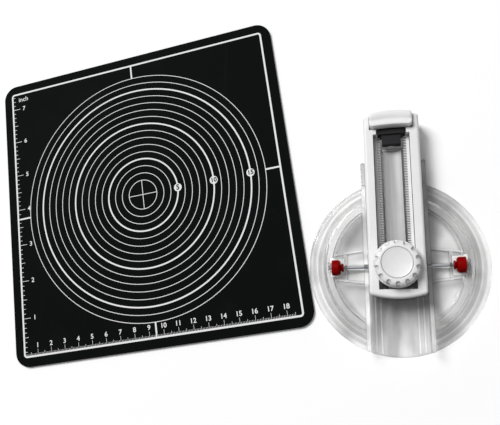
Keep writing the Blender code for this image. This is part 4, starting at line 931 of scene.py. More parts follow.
def ring(radius, line):
    low, high = -INK_SUNK, INK_HEIGHT
    inner, outer = radius - line / 2, radius + line / 2
    profile = [(inner, low), (outer, low), (outer, high), (inner, high)]
    ink(turned("ring", profile, RING_STEPS))


def bar(x_from, x_to, y_from, y_to):
    ink(block("bar", (x_from, y_from, -INK_SUNK), (x_to, y_to, INK_HEIGHT)))


def written(text, x, y, height, raised=0.0, weight=FIGURE_WEIGHT):
    """A figure as a flat solid, centred on the point."""
    letters = bpy.data.curves.new("figure", "FONT")
    letters.body = text
    letters.size = height * LETTER_SIZE_SHARE
    letters.align_x = "CENTER"
    letters.align_y = "CENTER"
    letters.extrude = (INK_HEIGHT + INK_SUNK) / 2
    letters.offset = height * weight
    letters.resolution_u = LETTER_STEPS
    source = linked("figure", letters)
    mesh = final_mesh(source)
    bpy.data.objects.remove(source)
    reworked(mesh, SAME_LETTER_POINT)
    return shifted(linked("figure", mesh), x, y, (INK_HEIGHT - INK_SUNK) / 2 + raised)


def fused(name, parts):
    """One object from many separate flat parts."""
    shape = bmesh.new()
    for part in parts:
        shape.from_mesh(part.data)
        bpy.data.objects.remove(part)
    mesh = bpy.data.meshes.new(name)
    shape.to_mesh(mesh)
    shape.free()
    return linked(name, mesh)


# %% [markdown]
# The frame is a square ring. The rings run from two to seventeen centimetres across, and every
# fifth one is thick. A thick ring carries its figure in black on a small white spot to the right.

# %% Frame, rings, cross and centre marks
FRAME_HALF = 94.8
FRAME_LINE = 1.2
FRAME_CORNER = 2.4
FRAME_CORNER_STEPS = 6
THICK_LINE = 1.0
MARK_LINE = 1.1
HALF_CM = 5.0
SMALLEST_RING, LARGEST_RING, THICK_EVERY = 2, 17, 5
SPOT_RADIUS = 2.7
SPOT_STEPS = 48
SPOT_HEIGHT_SHARE = 1.5
SPOT_FIGURE_WEIGHT = 0.045
SPOT_FIGURES = ((5, 3.5), (10, 3.0), (15, 3.0))

outer = corner_square(FRAME_HALF + FRAME_LINE / 2, FRAME_CORNER, FRAME_CORNER_STEPS)
inner = corner_square(FRAME_HALF - FRAME_LINE / 2, FRAME_CORNER - FRAME_LINE, FRAME_CORNER_STEPS)
frame_points = [(x, y, z) for z in (-INK_SUNK, INK_HEIGHT) for x, y in outer + inner]
side = len(outer)
frame_faces = []
for index in range(side):
    after = (index + 1) % side
    lower = [index, after, side + after, side + index]
    frame_faces.append(lower)
    frame_faces.append([2 * side + corner for corner in lower])
    frame_faces.append([index, after, 2 * side + after, 2 * side + index])
    frame_faces.append([side + index, side + after, 3 * side + after, 3 * side + index])
ink(add_body("frame", frame_points, frame_faces))

for diameter in range(SMALLEST_RING, LARGEST_RING + 1):
    ring(diameter * HALF_CM, FINE_LINE if diameter % THICK_EVERY else THICK_LINE)
arm_reach, arm_half = SMALLEST_RING * HALF_CM - FINE_LINE / 2, FINE_LINE / 2
cross = [(arm_reach, arm_half), (arm_half, arm_half), (arm_half, arm_reach)]
cross += [(-y, x) for x, y in cross]
cross += [(-x, -y) for x, y in cross]
ink(board("cross", cross, -INK_SUNK, INK_HEIGHT))
mark_from, mark_to = LARGEST_RING * HALF_CM + FINE_LINE / 2, FRAME_HALF - FRAME_LINE / 2
half_mark = MARK_LINE / 2
bar(-half_mark, half_mark, mark_from, mark_to)
bar(-half_mark, half_mark, -mark_to, -mark_from)
bar(-mark_to, -mark_from, -half_mark, half_mark)
bar(mark_from, mark_to, -half_mark, half_mark)
black_figures = []
for diameter, figure_height in SPOT_FIGURES:
    across = diameter * HALF_CM
    spot = rod("spot", SPOT_RADIUS, 0.0, INK_HEIGHT * SPOT_HEIGHT_SHARE, SPOT_STEPS)
    ink(shifted(spot, across))
    figure = written(str(diameter), across, 0.0, figure_height, INK_HEIGHT, SPOT_FIGURE_WEIGHT)
    figure.data.transform(ON_MAT @ Matrix.Translation((0.0, 0.0, MAT_TOP)))
    black_figures.append(figure)
print(len(print_parts), "parts of the print so far")

# %% [markdown]
# The rulers start at the frame's near left corner. The left one is in inches with a tick for each
# eighth, the near one in centimetres with a tick for each millimetre. Longer ticks mark the halves
# and the whole steps, and each whole step has its figure.

# %% Rulers
INCH = 25.4
EIGHTHS_PER_INCH, MM_PER_CM = 8, 10
INCH_TICKS, CM_TICKS = (5.2, 2.9, 1.6), (3.9, 2.2, 1.2)
TICK_LINE = 0.3
INCH_RULER_END_ROOM = 2.0
MM_PAST_LAST_CM = 5
INCH_FIGURE_IN, CM_FIGURE_IN = 8.3, 6.3
WORD_IN, WORD_DOWN, WORD_HEIGHT, WORD_WEIGHT = 8.2, 4.7, 3.4, 0.008
start = -FRAME_HALF + FRAME_LINE / 2
half_inch_tick, half_cm_tick = TICK_LINE / 2, TICK_LINE / 3


def tick_length(tick, whole, lengths):
    """The longest tick at a whole step, a shorter one at a half, and the shortest between."""
    if tick % whole == 0:
        return lengths[0]
    return lengths[1] if tick % (whole // 2) == 0 else lengths[2]


eighths = int((2 * FRAME_HALF - INCH_RULER_END_ROOM) / (INCH / EIGHTHS_PER_INCH))
for tick in range(1, eighths + 1):
    height = -FRAME_HALF + tick * INCH / EIGHTHS_PER_INCH
    length = tick_length(tick, EIGHTHS_PER_INCH, INCH_TICKS)
    bar(start, start + length, height - half_inch_tick, height + half_inch_tick)
    if tick % EIGHTHS_PER_INCH == 0:
        figure = str(tick // EIGHTHS_PER_INCH)
        ink(written(figure, start + INCH_FIGURE_IN, height, FIGURE_HEIGHT))
last_cm = int(2 * FRAME_HALF / MM_PER_CM)
for tick in range(1, last_cm * MM_PER_CM + MM_PAST_LAST_CM + 1):
    across = -FRAME_HALF + tick
    length = tick_length(tick, MM_PER_CM, CM_TICKS)
    bar(across - half_cm_tick, across + half_cm_tick, start, start + length)
    if tick % MM_PER_CM == 0:
        ink(written(str(tick // MM_PER_CM), across, start + CM_FIGURE_IN, FIGURE_HEIGHT))
word_place = (start + WORD_IN, FRAME_HALF - WORD_DOWN)
ink(written("inch", *word_place, WORD_HEIGHT, weight=WORD_WEIGHT))
mat_print = fused("mat_print", print_parts)
placed(mat_print, ink_white, "base", "mat_black")
ring_figures = fused("mat_ring_figures", black_figures)
placed(ring_figures, mat_black, "base", "mat_black")

# %% [markdown]
# ## The clear disc
# The disc is the largest moulding: a thin rim, a sloped flange, a raised hollow ring, clear panes,
# two tapered spokes and the channel that the arm slides in. The ring part is turned from a rounded
# profile. The channel is cut out of it, and walls, floor, rails and spokes are joined on. Each wall
# gets its roundings before it is joined, so that the bends of light sit where the real ones do.

# %% Disc: the turned ring
DISC_RADIUS = 52.0
RIM_INNER = 49.4
RING_OUTER = 42.6
RING_INNER = 35.9
RING_TOP = 9.0
RIM_LOW, RIM_HIGH = 0.6, 2.0
FLANGE_LOW, FLANGE_HIGH = 3.0, 7.2
WALL = 1.6
WALL_LOW = 0.9
GROOVE_OUTER, GROOVE_INNER, GROOVE_DEPTH = 37.79, 36.69, 0.6
RIM_SLOPE, RING_SLOPE, GROOVE_SLOPE = 0.4, 0.5, 0.3
RING_ROUND, RING_ROUND_STEPS = 0.7, 3
DISC_STEPS = 144

ring_profile = [
    (DISC_RADIUS, RIM_LOW),
    (DISC_RADIUS, RIM_HIGH),
    (RIM_INNER + RIM_SLOPE, RIM_HIGH),
    (RIM_INNER, FLANGE_LOW),
    (RING_OUTER, FLANGE_HIGH),
    (RING_OUTER - RING_SLOPE, RING_TOP),
    (GROOVE_OUTER + GROOVE_SLOPE, RING_TOP),
    (GROOVE_OUTER, RING_TOP - GROOVE_DEPTH),
    (GROOVE_INNER, RING_TOP - GROOVE_DEPTH),
    (GROOVE_INNER - GROOVE_SLOPE, RING_TOP),
    (RING_INNER, RING_TOP),
    (RING_INNER, WALL_LOW),
    (RING_INNER + WALL, WALL_LOW),
    (RING_INNER + WALL, RING_TOP - WALL),
    (RING_OUTER - WALL, RING_TOP - WALL),
    (RING_OUTER - WALL / 2, FLANGE_HIGH - WALL),
    (RIM_INNER - WALL, FLANGE_LOW - WALL),
    (RIM_INNER - WALL / 2, RIM_LOW),
]
disc = turned("clear_disc", rounded(ring_profile, RING_ROUND, RING_ROUND_STEPS), DISC_STEPS)
print("ring profile of", len(ring_profile), "corners")

# %% [markdown]
# The channel's two guide walls start at the disc's near edge and stand out past its far edge. The
# floor between them carries four low rails, and is open at the far side for the blade.

# %% Disc: channel
CHANNEL_HALF = 16.3
GUIDE_WALL = 2.5
WALL_MIDDLE = CHANNEL_HALF + GUIDE_WALL / 2
WALL_OUTSIDE = CHANNEL_HALF + GUIDE_WALL
GUIDE_TOP = 11.5
GUIDE_REACH = 62.0
GUIDE_UNDERSIDE = 3.3
GUIDE_CHAMFER = 0.8
GUIDE_ROUND, GUIDE_ROUND_STEPS, GUIDE_TOP_ROUND, GUIDE_FOOT_ROUND = 0.9, 4, 0.5, 0.15
FLOOR_LOW, FLOOR_HIGH = 2.4, 4.0
RAIL_TOP = 4.6
RAIL_PLACES = (-13.5, -10.4, 10.4, 13.5)
RAIL_HALF, RAIL_END_ROOM, RAIL_ROUND, RAIL_TOP_ROUND = 0.5, 1.2, 0.3, 0.25
BLADE_SLOT_HALF, BLADE_SLOT_START, BLADE_SLOT_ROUND = 8.6, 12.8, 0.6


def circle_y(radius, x):
    return math.sqrt(radius**2 - x**2)


def guide_wall(side):
    near_in, near_out = -circle_y(DISC_RADIUS, CHANNEL_HALF), -circle_y(DISC_RADIUS, WALL_OUTSIDE)
    outline = [
        (side * CHANNEL_HALF, near_in),
        (side * WALL_OUTSIDE, near_out),
        (side * WALL_OUTSIDE, GUIDE_REACH - GUIDE_CHAMFER),
        (side * (WALL_OUTSIDE - GUIDE_CHAMFER), GUIDE_REACH),
        (side * CHANNEL_HALF, GUIDE_REACH),
    ]
    outline = rounded(outline, GUIDE_ROUND, GUIDE_ROUND_STEPS)
    wall = board("guide_wall", outline, WALL_LOW, GUIDE_TOP, GUIDE_TOP_ROUND, GUIDE_FOOT_ROUND)
    low = (-DISC_RADIUS, -near_in, -OVER)
    return cut(wall, block("undercut", low, (DISC_RADIUS, GUIDE_REACH + OVER, GUIDE_UNDERSIDE)))


def arc(radius, x_from, x_to, side, steps=24):
    """Points on a circle from one x to another, on its far or near side."""
    points = []
    for step in range(steps + 1):
        x = x_from + (x_to - x_from) * step / steps
        points.append((x, side * circle_y(radius, x)))
    return points


reach = DISC_RADIUS + OVER
cut(disc, block("channel", (-WALL_MIDDLE, -reach, -OVER), (WALL_MIDDLE, reach, RING_TOP + OVER)))
joined(disc, guide_wall(-1), guide_wall(1))
floor_outline = arc(DISC_RADIUS, -WALL_MIDDLE, WALL_MIDDLE, -1)
floor_outline += arc(DISC_RADIUS, WALL_MIDDLE, -WALL_MIDDLE, 1)
channel_floor = board("channel_floor", floor_outline, FLOOR_LOW, FLOOR_HIGH)
for place in RAIL_PLACES:
    end = circle_y(DISC_RADIUS, place) - RAIL_END_ROOM
    left, right = place - RAIL_HALF, place + RAIL_HALF
    outline = rounded([(left, -end), (right, -end), (right, end), (left, end)], RAIL_ROUND)
    joined(channel_floor, board("rail", outline, FLOOR_HIGH - SINK, RAIL_TOP, RAIL_TOP_ROUND))
low, high = (-BLADE_SLOT_HALF, BLADE_SLOT_START, -OVER), (BLADE_SLOT_HALF, reach, RAIL_TOP + OVER)
cut(channel_floor, block("blade_slot", low, high, BLADE_SLOT_ROUND))
joined(disc, channel_floor)
print("channel joined:", len(disc.data.polygons), "faces")

# %% [markdown]
# A spoke is a shallow tray with a rib along each edge, which is what shows as bright lines. The
# panes close the windows between the spokes and the ring, thin and low down.

# %% Disc: spokes, panes and roller pockets
SPOKE_ROOT, SPOKE_TIP = 10.3, 8.0
SPOKE_HIGH = 2.5
SPOKE_RIB, SPOKE_RIB_TOP, SPOKE_RIB_ROUND = 1.4, 8.0, 0.4
PANE_HIGH = 2.1
PANE_STEPS = 20
POCKET_IN, POCKET_OUT, POCKET_HALF, POCKET_ROUND = 30.4, 38.7, 5.6, 0.5
BEARING_WALL, BEARING_LAP = 1.5, 0.6
CROSS_WALL_HALF, CROSS_WALL_TOP = 8.0, 7.5
POST_HALF, POST_TOP = 3.0, 8.2
AXLE_HEIGHT = 4.7
KEYHOLE_RADIUS, KEYHOLE_STEPS, KEYHOLE_FROM, KEYHOLE_TO = 1.3, 12, 16.925, 40.5
PIVOT_HOLE, PIVOT_HOLE_STEPS = 3.1, 48
SCREW_HOLE, SCREW_HOLE_STEPS, SCREW_PLACE = 1.2, 24, 6.4


def spoke(side):
    start = side * WALL_MIDDLE
    tip_x = side * circle_y(RING_INNER + WALL / 2, SPOKE_TIP)
    plate = [(start, -SPOKE_ROOT), (tip_x, -SPOKE_TIP), (tip_x, SPOKE_TIP), (start, SPOKE_ROOT)]
    tray = board("spoke", plate, WALL_LOW, SPOKE_HIGH)
    for turn in (-1, 1):
        rib = [(start, turn * SPOKE_ROOT), (tip_x, turn * SPOKE_TIP)]
        rib += [(tip_x, turn * (SPOKE_TIP - SPOKE_RIB)), (start, turn * (SPOKE_ROOT - SPOKE_RIB))]
        joined(tray, board("rib", rib, WALL_LOW, SPOKE_RIB_TOP, SPOKE_RIB_ROUND))
    ends = sorted((side * (POCKET_IN - BEARING_WALL), side * (POCKET_IN + BEARING_LAP)))
    low, high = (ends[0], -CROSS_WALL_HALF, WALL_LOW), (ends[1], CROSS_WALL_HALF, CROSS_WALL_TOP)
    return joined(tray, block("cross_wall", low, high))


def pane(side):
    radius = RING_INNER + WALL / 2
    far = circle_y(radius, WALL_MIDDLE)
    outline = []
    for step in range(2 * PANE_STEPS + 1):
        angle = math.atan2(far, WALL_MIDDLE) * (1 - step / PANE_STEPS)
        outline.append((side * radius * math.cos(angle), radius * math.sin(angle)))
    return board("pane", outline, WALL_LOW, PANE_HIGH)


def keyhole(side):
    """A slot open below with a round top, which the axle snaps into."""
    radius = KEYHOLE_RADIUS
    outline = [(-radius, -OVER), (radius, -OVER)]
    for step in range(KEYHOLE_STEPS + 1):
        angle = math.pi * step / KEYHOLE_STEPS
        outline.append((radius * math.cos(angle), AXLE_HEIGHT + radius * math.sin(angle)))
    ends = sorted((side * KEYHOLE_FROM, side * KEYHOLE_TO))
    tool = board("keyhole", outline, ends[0], ends[1])
    tool.data.transform(Matrix(((0, 0, 1, 0), (1, 0, 0, 0), (0, 1, 0, 0), (0, 0, 0, 1))))
    return tool


for side in (-1, 1):
    joined(disc, spoke(side), pane(side))
    post = sorted((side * (POCKET_OUT - BEARING_LAP), side * (POCKET_OUT + BEARING_WALL)))
    joined(disc, block("post", (post[0], -POST_HALF, WALL_LOW), (post[1], POST_HALF, POST_TOP)))
    pocket = sorted((side * POCKET_IN, side * POCKET_OUT))
    low, high = (pocket[0], -POCKET_HALF, -OVER), (pocket[1], POCKET_HALF, RING_TOP + OVER)
    cut(disc, block("pocket", low, high, POCKET_ROUND), keyhole(side))
cut(disc, rod("pivot_hole", PIVOT_HOLE, -OVER, RAIL_TOP + OVER, PIVOT_HOLE_STEPS))
for side in (-1, 1):
    hole = rod("screw_hole", SCREW_HOLE, -OVER, RAIL_TOP + OVER, SCREW_HOLE_STEPS)
    cut(disc, shifted(hole, y=side * SCREW_PLACE))
placed(disc, clear_plastic, "turntable", "clear_plastic", "turntable_disc")

# %% [markdown]
# ## The sliding arm
# The arm is a long white moulding with ends as round as the disc and a deep slot with a ledge down
# each side. It is cut from one rounded board in the order in which a mould maker thinks of it:
# outline, slot, upper slot, the well for the blade holder, and the recess for the press pad with a
# pocket for each spring.

# %% Arm: outline and slot
ARM_HALF, ARM_NEAR, ARM_FAR = 16.0, -19.0, 91.0
ARM_LOW, ARM_HIGH = 4.9, 17.0
ARM_CORNER_IN, ARM_CORNER_ROUND, ARM_CORNER_STEPS = 3.6, 1.9, 5
ARM_TOP_ROUND, ARM_FOOT_ROUND, ARM_ROUND_STEPS = 1.75, 0.3, 6
SLOT_HALF, LEDGE_HALF, LEDGE_HEIGHT = 8.5, 10.5, 8.5
SLOT_NEAR, SLOT_ROUND = -14.0, 0.3
HOLDER_FACE, WELL_START, WELL_STEP, WELL_END = 77.3, 71.0, 81.5, 88.0
WELL_HALF, WELL_BACK_HALF = 8.6, 6.9
RECESS_HALF, RECESS_FRONT, RECESS_LOW = 12.6, 80.3, 12.0
POCKET_RADIUS, POCKET_DEPTH, POCKET_STEPS = 1.72, 5.3, 24
SPRING_ACROSS, SPRING_ALONG = 9.6, 85.4
UNDER, ABOVE = ARM_LOW - OVER, ARM_HIGH + OVER


def arm_end(crown, side):
    """An end as round as the disc, with plain corner points where its sides begin."""
    edge = ARM_HALF - ARM_CORNER_IN
    slope = edge / circle_y(DISC_RADIUS, edge)
    corner_y = circle_y(DISC_RADIUS, edge) - slope * (ARM_HALF - edge)
    points = [(side * ARM_HALF, side * corner_y)]
    points += arc(DISC_RADIUS, side * edge, -side * edge, side)
    points.append((-side * ARM_HALF, side * corner_y))
    return [(x, y - side * DISC_RADIUS + crown) for x, y in points]


def across_slot(name, half, near, far, low=UNDER, rounding=0.0):
    """A cutter as far to the left as to the right, from this height up through the top."""
    return block(name, (-half, near, low), (half, far, ABOVE), rounding)


arm_outline = rounded(
    arm_end(ARM_NEAR, -1) + arm_end(ARM_FAR, 1), ARM_CORNER_ROUND, ARM_CORNER_STEPS
)
rounds = (ARM_TOP_ROUND, ARM_FOOT_ROUND, ARM_ROUND_STEPS)
arm = board("sliding_arm", arm_outline, ARM_LOW, ARM_HIGH, *rounds)
cut(
    arm,
    across_slot("slot", SLOT_HALF, SLOT_NEAR, WELL_START, rounding=SLOT_ROUND),
    across_slot("upper", LEDGE_HALF, SLOT_NEAR, HOLDER_FACE, LEDGE_HEIGHT),
    across_slot("well", WELL_HALF, WELL_START - SINK, WELL_STEP),
    across_slot("well_back", WELL_BACK_HALF, HOLDER_FACE, WELL_END),
    across_slot("recess", RECESS_HALF, RECESS_FRONT, ARM_FAR + OVER, RECESS_LOW),
)
for side in (-1, 1):
    pocket = rod("spring_pocket", POCKET_RADIUS, RECESS_LOW - POCKET_DEPTH, ABOVE, POCKET_STEPS)
    cut(arm, shifted(pocket, x=side * SPRING_ACROSS, y=SPRING_ALONG))
print("arm cut:", len(arm.data.polygons), "faces")

# %% [markdown]
# A floor strip runs along the slot, and the yoke reaches round it. Its top is a shallow trough, as
# wide as the strip but for a thin edge, and a web ties its far end to both sides of the slot. Each
# side of the arm is hollowed from underneath, with cross ribs left between the cores, so that its
# walls stay thin. A last small bevel goes round every clear edge that the cuts have left.

# %% Arm: strip and cores
STRIP_HALF, STRIP_LOW, STRIP_HIGH = 5.5, 6.4, 8.0
STRIP_END_ROOM = 1.0
WEB_LENGTH = 2.0
TROUGH_HALF, TROUGH_DEPTH, TROUGH_STEPS = 5.2, 1.1, 144
TROUGH_RADIUS = (TROUGH_HALF**2 + TROUGH_DEPTH**2) / (2 * TROUGH_DEPTH)
CORE_NEAR, CORE_FAR, CORE_INNER, CORE_OUTER = -13.0, 77.0, 12.0, 14.4
CORES, CORE_RIB, CORE_ROOF, CORE_ROUND = 4, 1.2, 2.5, 0.4
CORE_STEP = (CORE_FAR - CORE_NEAR + CORE_RIB) / CORES
ARM_BEVEL = 0.22

low = (-STRIP_HALF, SLOT_NEAR - SINK, STRIP_LOW)
strip = block("strip", low, (STRIP_HALF, WELL_START - STRIP_END_ROOM, STRIP_HIGH))
ends = (SLOT_NEAR - OVER, WELL_START + OVER)
trough = rod("trough", TROUGH_RADIUS, *ends, TROUGH_STEPS, "Y")
cut(strip, shifted(trough, z=STRIP_HIGH - TROUGH_DEPTH + TROUGH_RADIUS))
low = (-SLOT_HALF - SINK, WELL_START - WEB_LENGTH, STRIP_LOW)
web = block("web", low, (SLOT_HALF + SINK, WELL_START - SINK, STRIP_HIGH))
joined(arm, joined(strip, web))
for side in (-1, 1):
    ends = sorted((side * CORE_INNER, side * CORE_OUTER))
    for core in range(CORES):
        near = CORE_NEAR + CORE_STEP * core
        far = near + CORE_STEP - CORE_RIB
        low, high = (ends[0], near, UNDER), (ends[1], far, ARM_HIGH - CORE_ROOF)
        cut(arm, block("core", low, high, CORE_ROUND))
placed(eased(arm, ARM_BEVEL), arm_white, "arm", "arm_white", "arm_body")

# %% [markdown]
# ## The combs and the roller axles
# The two combs in the slot have teeth a millimetre apart. The imported model's combs already have
# every tooth, so they stay as they are and only get the finish of moulded plastic, whose painted
# crease shade goes nearly black, so that each gap between two teeth shows. The roller axles are
# plain bars, and get a darker copy of the steel, whose darkness is painted shade.

# %% Finishes for the solids that stay
def dressed(look, *nodes):
    """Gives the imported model's own solids a finish."""
    for node in nodes:
        for slot in frame["nodes"][node].material_slots:
            slot.material = look
    print("finish for", ", ".join(nodes))


dressed(rack_white, "rack_left", "rack_right")
dressed(shaded_axle_steel, "roller_axle_left", "roller_axle_right")

# %% [markdown]
# ## The press pad
# The thumb pad closes the arm's far end. Its back follows the arm's round end, its top has a
# crown, a dip where the thumb rests and a raised front lip, and its front edge is slightly hollow
# in plan. Such a form is a skin over a grid: for each place across the pad there is one closed
# slice, and the slices are joined into one body. Two bosses under it take the screws.

# %% Press pad
PAD_HALF, PAD_FRONT, PAD_LOW, PAD_HEIGHT = 12.3, 80.6, 15.2, 6.0
PAD_SIDE_ROUND = 1.2
PAD_CORNER = 2.3
PAD_FRONT_OUT, PAD_HOLLOW, PAD_HOLLOW_POWER = 0.1, 0.7, 2.2
PAD_BACK_SHARE = 0.5
PAD_SLICES = 48
BOSS_RADIUS, BOSS_LENGTH, BOSS_STEPS = 1.6, 2.6, 24
BOSS_ACROSS, BOSS_ALONG = 3.9, 84.5
BOSS_HOLE_RADIUS, BOSS_HOLE_DEPTH = 0.85, 1.3
PAD_PROFILE_SHARES = (
    (0.00, 0.70),
    (0.015, 0.86),
    (0.06, 0.96),
    (0.13, 0.98),
    (0.21, 0.97),
    (0.28, 0.90),
    (0.36, 0.84),
    (0.44, 0.83),
    (0.52, 0.88),
    (0.62, 0.925),
    (0.74, 0.94),
    (0.84, 0.93),
    (0.92, 0.88),
    (0.97, 0.80),
    (1.00, 0.68),
)


def pad_slice(across):
    """The closed slice of the pad at this place across it."""
    hollow = PAD_HOLLOW * (1 - abs(across / PAD_HALF) ** PAD_HOLLOW_POWER)
    front = PAD_FRONT + hollow - PAD_FRONT_OUT
    beyond = max(0.0, PAD_CORNER - (PAD_HALF - abs(across)))
    front += PAD_CORNER - math.sqrt(max(0.0, PAD_CORNER**2 - beyond**2))
    back = ARM_FAR - DISC_RADIUS + circle_y(DISC_RADIUS, across)
    inside = max(0.0, PAD_SIDE_ROUND - (PAD_HALF - abs(across)))
    drop = PAD_SIDE_ROUND - math.sqrt(max(0.0, PAD_SIDE_ROUND**2 - inside**2))
    back -= drop * PAD_BACK_SHARE
    points = [(across, back, PAD_LOW), (across, front, PAD_LOW)]
    for along, high in PAD_PROFILE_SHARES:
        points.append((across, front + (back - front) * along, PAD_LOW + PAD_HEIGHT * high - drop))
    return points


slices = []
for step in range(PAD_SLICES + 1):
    share = step / PAD_SLICES
    slices.append(pad_slice(-PAD_HALF * math.cos(math.pi * share)))
count = len(slices[0])
pad_faces = [list(range(count)), [PAD_SLICES * count + index for index in range(count)]]
for step in range(PAD_SLICES):
    for index in range(count):
        after = (index + 1) % count
        here, there = step * count, (step + 1) * count
        pad_faces.append([here + index, here + after, there + after, there + index])
press_pad = add_body("thumb_pad", [point for part in slices for point in part], pad_faces)
for side in (-1, 1):
    boss = rod("boss", BOSS_RADIUS, PAD_LOW - BOSS_LENGTH, PAD_LOW + SINK, BOSS_STEPS)
    joined(press_pad, shifted(boss, x=side * BOSS_ACROSS, y=BOSS_ALONG))
    hole = rod("boss_hole", BOSS_HOLE_RADIUS, 0.0, PAD_LOW + BOSS_HOLE_DEPTH, BOSS_STEPS)
    cut(press_pad, shifted(hole, x=side * BOSS_ACROSS, y=BOSS_ALONG))
placed(press_pad, pad_white, "blade_carriage", "press_pad_white", "press_pad")

# %% [markdown]
# ## The return springs
# A coil spring stands in a pocket under each side of the pad. Its lower end stays in the arm and
# its upper end goes down with the pad, so the coil gets shorter. Here each coil is a copy of the
# packed one, with a mesh of its own, and rides on the arm. A copy of the packed coil is used
# because a carried-over solid must not change.

# %% Return springs
for name in ("left", "right"):
    node = f"return_spring_{name}"
    low, high = [Vector(corner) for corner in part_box(node)]
    coil = copy_of(node)
    coil.name = f"coil_spring_{name}"
    placed(coil, steel, "arm", "steel", node)
    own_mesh(coil)
    print(node, "is", round((high.z - low.z) / MM, 2), "mm long at rest")

# %% [markdown]
# ## The blade holder, the clamp and the small hidden parts
# Under the pad hangs a black block that is forked round the blade. Like the clamp, the yoke, the
# foot and the screws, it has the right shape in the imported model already, but with knife edges. A
# copy of each solid gets a small bevel, so that its edges catch the light as moulded and pressed
# edges do.

# %% Eased copies
EASED_COPIES = (
    ("blade_holder", holder_black, "blade_carriage", "holder_black", 0.18),
    ("clamp_block", holder_black, "clamp", "holder_black", 0.08),
    ("clamp_stud", steel, "clamp", "steel", 0.12),
    ("pivot_foot", foot_grey, "base", "foot_plastic", 0.15),
    ("pivot_pad", pad_rubber, "base", "pad_rubber", 0.15),
    ("yoke_bracket", steel, "turntable", "steel", 0.08),
    ("yoke_bridge", steel, "turntable", "steel", 0.1),
    ("knob_washer", steel, "turntable", "steel", 0.1),
    ("blade_axle", steel, "blade_carriage", "steel", 0.1),
    ("pad_screw_left", steel, "blade_carriage", "steel", 0.1),
    ("pad_screw_right", steel, "blade_carriage", "steel", 0.1),
    ("pivot_screw", steel, "base", "steel", 0.1),
    ("yoke_screw_near", steel, "turntable", "steel", 0.1),
    ("yoke_screw_far", steel, "turntable", "steel", 0.1),
)
for node, look, rides_on, slot, width in EASED_COPIES:
    body = eased(copy_of(node), width)
    body.name = f"eased_{node}"
    placed(body, look, rides_on, slot, node)

# %% [markdown]
# ## The rollers
# A red barrel on each spoke keeps the disc level. It has a swelled outline, a flat outer face and
# a narrow collar toward the middle, all turned from one profile about the axle.

# %% Rollers
ROLLER_ROUND, ROLLER_ROUND_STEPS, ROLLER_STEPS = 0.35, 3, 64
ROLLER_PROFILE = [
    (1.3, 31.1),
    (2.5, 31.1),
    (2.5, 32.3),
    (1.9, 32.3),
    (1.9, 32.9),
    (3.5, 32.9),
    (4.15, 33.4),
    (4.6, 34.2),
    (4.6, 38.0),
    (1.3, 38.0),
]
roller_outline = rounded(ROLLER_PROFILE, ROLLER_ROUND, ROLLER_ROUND_STEPS)
for name, side in (("left", -1), ("right", 1)):
    profile = [(radius, side * along) for radius, along in roller_outline]
    roller = shifted(turned(f"red_roller_{name}", profile, ROLLER_STEPS, "X"), z=AXLE_HEIGHT)
    placed(roller, roller_red, f"roller_on_{name}", "roller_red", f"roller_{name}")

# %% [markdown]
# ## The wheel blade
# The blade is a thin steel wheel, ground to an edge from both sides. A finer profile than the
# packed one shows the ground band, and the finish has its marks round the wheel.

# %% Blade
BLADE_PLACE, BLADE_AXIS, BLADE_RADIUS, BLADE_BORE = 79.4, 8.6, 6.0, 1.3
BLADE_HALF, GROUND_BAND = 0.2, 0.9
EDGE_HALF, EDGE_BAND = 0.02, 0.05
BLADE_STEPS = 96
blade_profile = [
    (BLADE_BORE, BLADE_PLACE - BLADE_HALF),
    (BLADE_RADIUS - GROUND_BAND, BLADE_PLACE - BLADE_HALF),
    (BLADE_RADIUS - EDGE_BAND, BLADE_PLACE - EDGE_HALF),
    (BLADE_RADIUS, BLADE_PLACE),
    (BLADE_RADIUS - EDGE_BAND, BLADE_PLACE + EDGE_HALF),
    (BLADE_RADIUS - GROUND_BAND, BLADE_PLACE + BLADE_HALF),
    (BLADE_BORE, BLADE_PLACE + BLADE_HALF),
]
wheel = shifted(turned("blade_wheel_ground", blade_profile, BLADE_STEPS, "Y"), z=BLADE_AXIS)
placed(wheel, blade_steel, "blade", "blade_steel", "blade_wheel")

# %% [markdown]
# ## The knob
# The knob is the part that is turned by hand: a round head with fourteen flutes in its rim, a
# dished cap let into its top, and a thin flange under it. The head comes from one profile: up the
# rim, over the shoulder in short steps, down the lip round the cap, and down the hollow where the
# stud's cross pin moves. Each step of the shoulder is written as how far in from the rim and how
# far below the top it lies.

# %% Knob head
KNOB_RADIUS, KNOB_LOW, KNOB_HIGH, KNOB_STEPS = 12.8, 18.9, 26.0, 168
STUD_BORE = 1.9
RIM_BREAK, RIM_HEIGHT = 0.35, 3.2
SHOULDER = (
    (0.05, 2.3),
    (0.22, 1.75),
    (0.5, 1.25),
    (0.9, 0.8),
    (1.4, 0.45),
    (2.0, 0.2),
    (2.8, 0.04),
)
LIP = ((9.3, 0.0), (8.95, 0.04), (8.84, 0.14), (8.8, 0.45), (8.62, 0.5))
CAP_SEAT_RADIUS, CAP_SEAT_DEPTH = 8.62, 1.7
HOLLOW_RADIUS, HOLLOW_LOW = 3.6, 19.3
head_profile = [
    (STUD_BORE, KNOB_LOW),
    (KNOB_RADIUS - RIM_BREAK, KNOB_LOW),
    (KNOB_RADIUS, KNOB_LOW + RIM_BREAK),
    (KNOB_RADIUS, KNOB_LOW + RIM_HEIGHT),
]
head_profile += [(KNOB_RADIUS - inward, KNOB_HIGH - down) for inward, down in SHOULDER]
head_profile += [(radius, KNOB_HIGH - down) for radius, down in LIP]
head_profile += [
    (CAP_SEAT_RADIUS, KNOB_HIGH - CAP_SEAT_DEPTH),
    (HOLLOW_RADIUS, KNOB_HIGH - CAP_SEAT_DEPTH),
    (HOLLOW_RADIUS, HOLLOW_LOW),
    (STUD_BORE, HOLLOW_LOW),
]
knob_head = turned("knob_grip", head_profile, KNOB_STEPS)
print("knob profile of", len(head_profile), "corners")

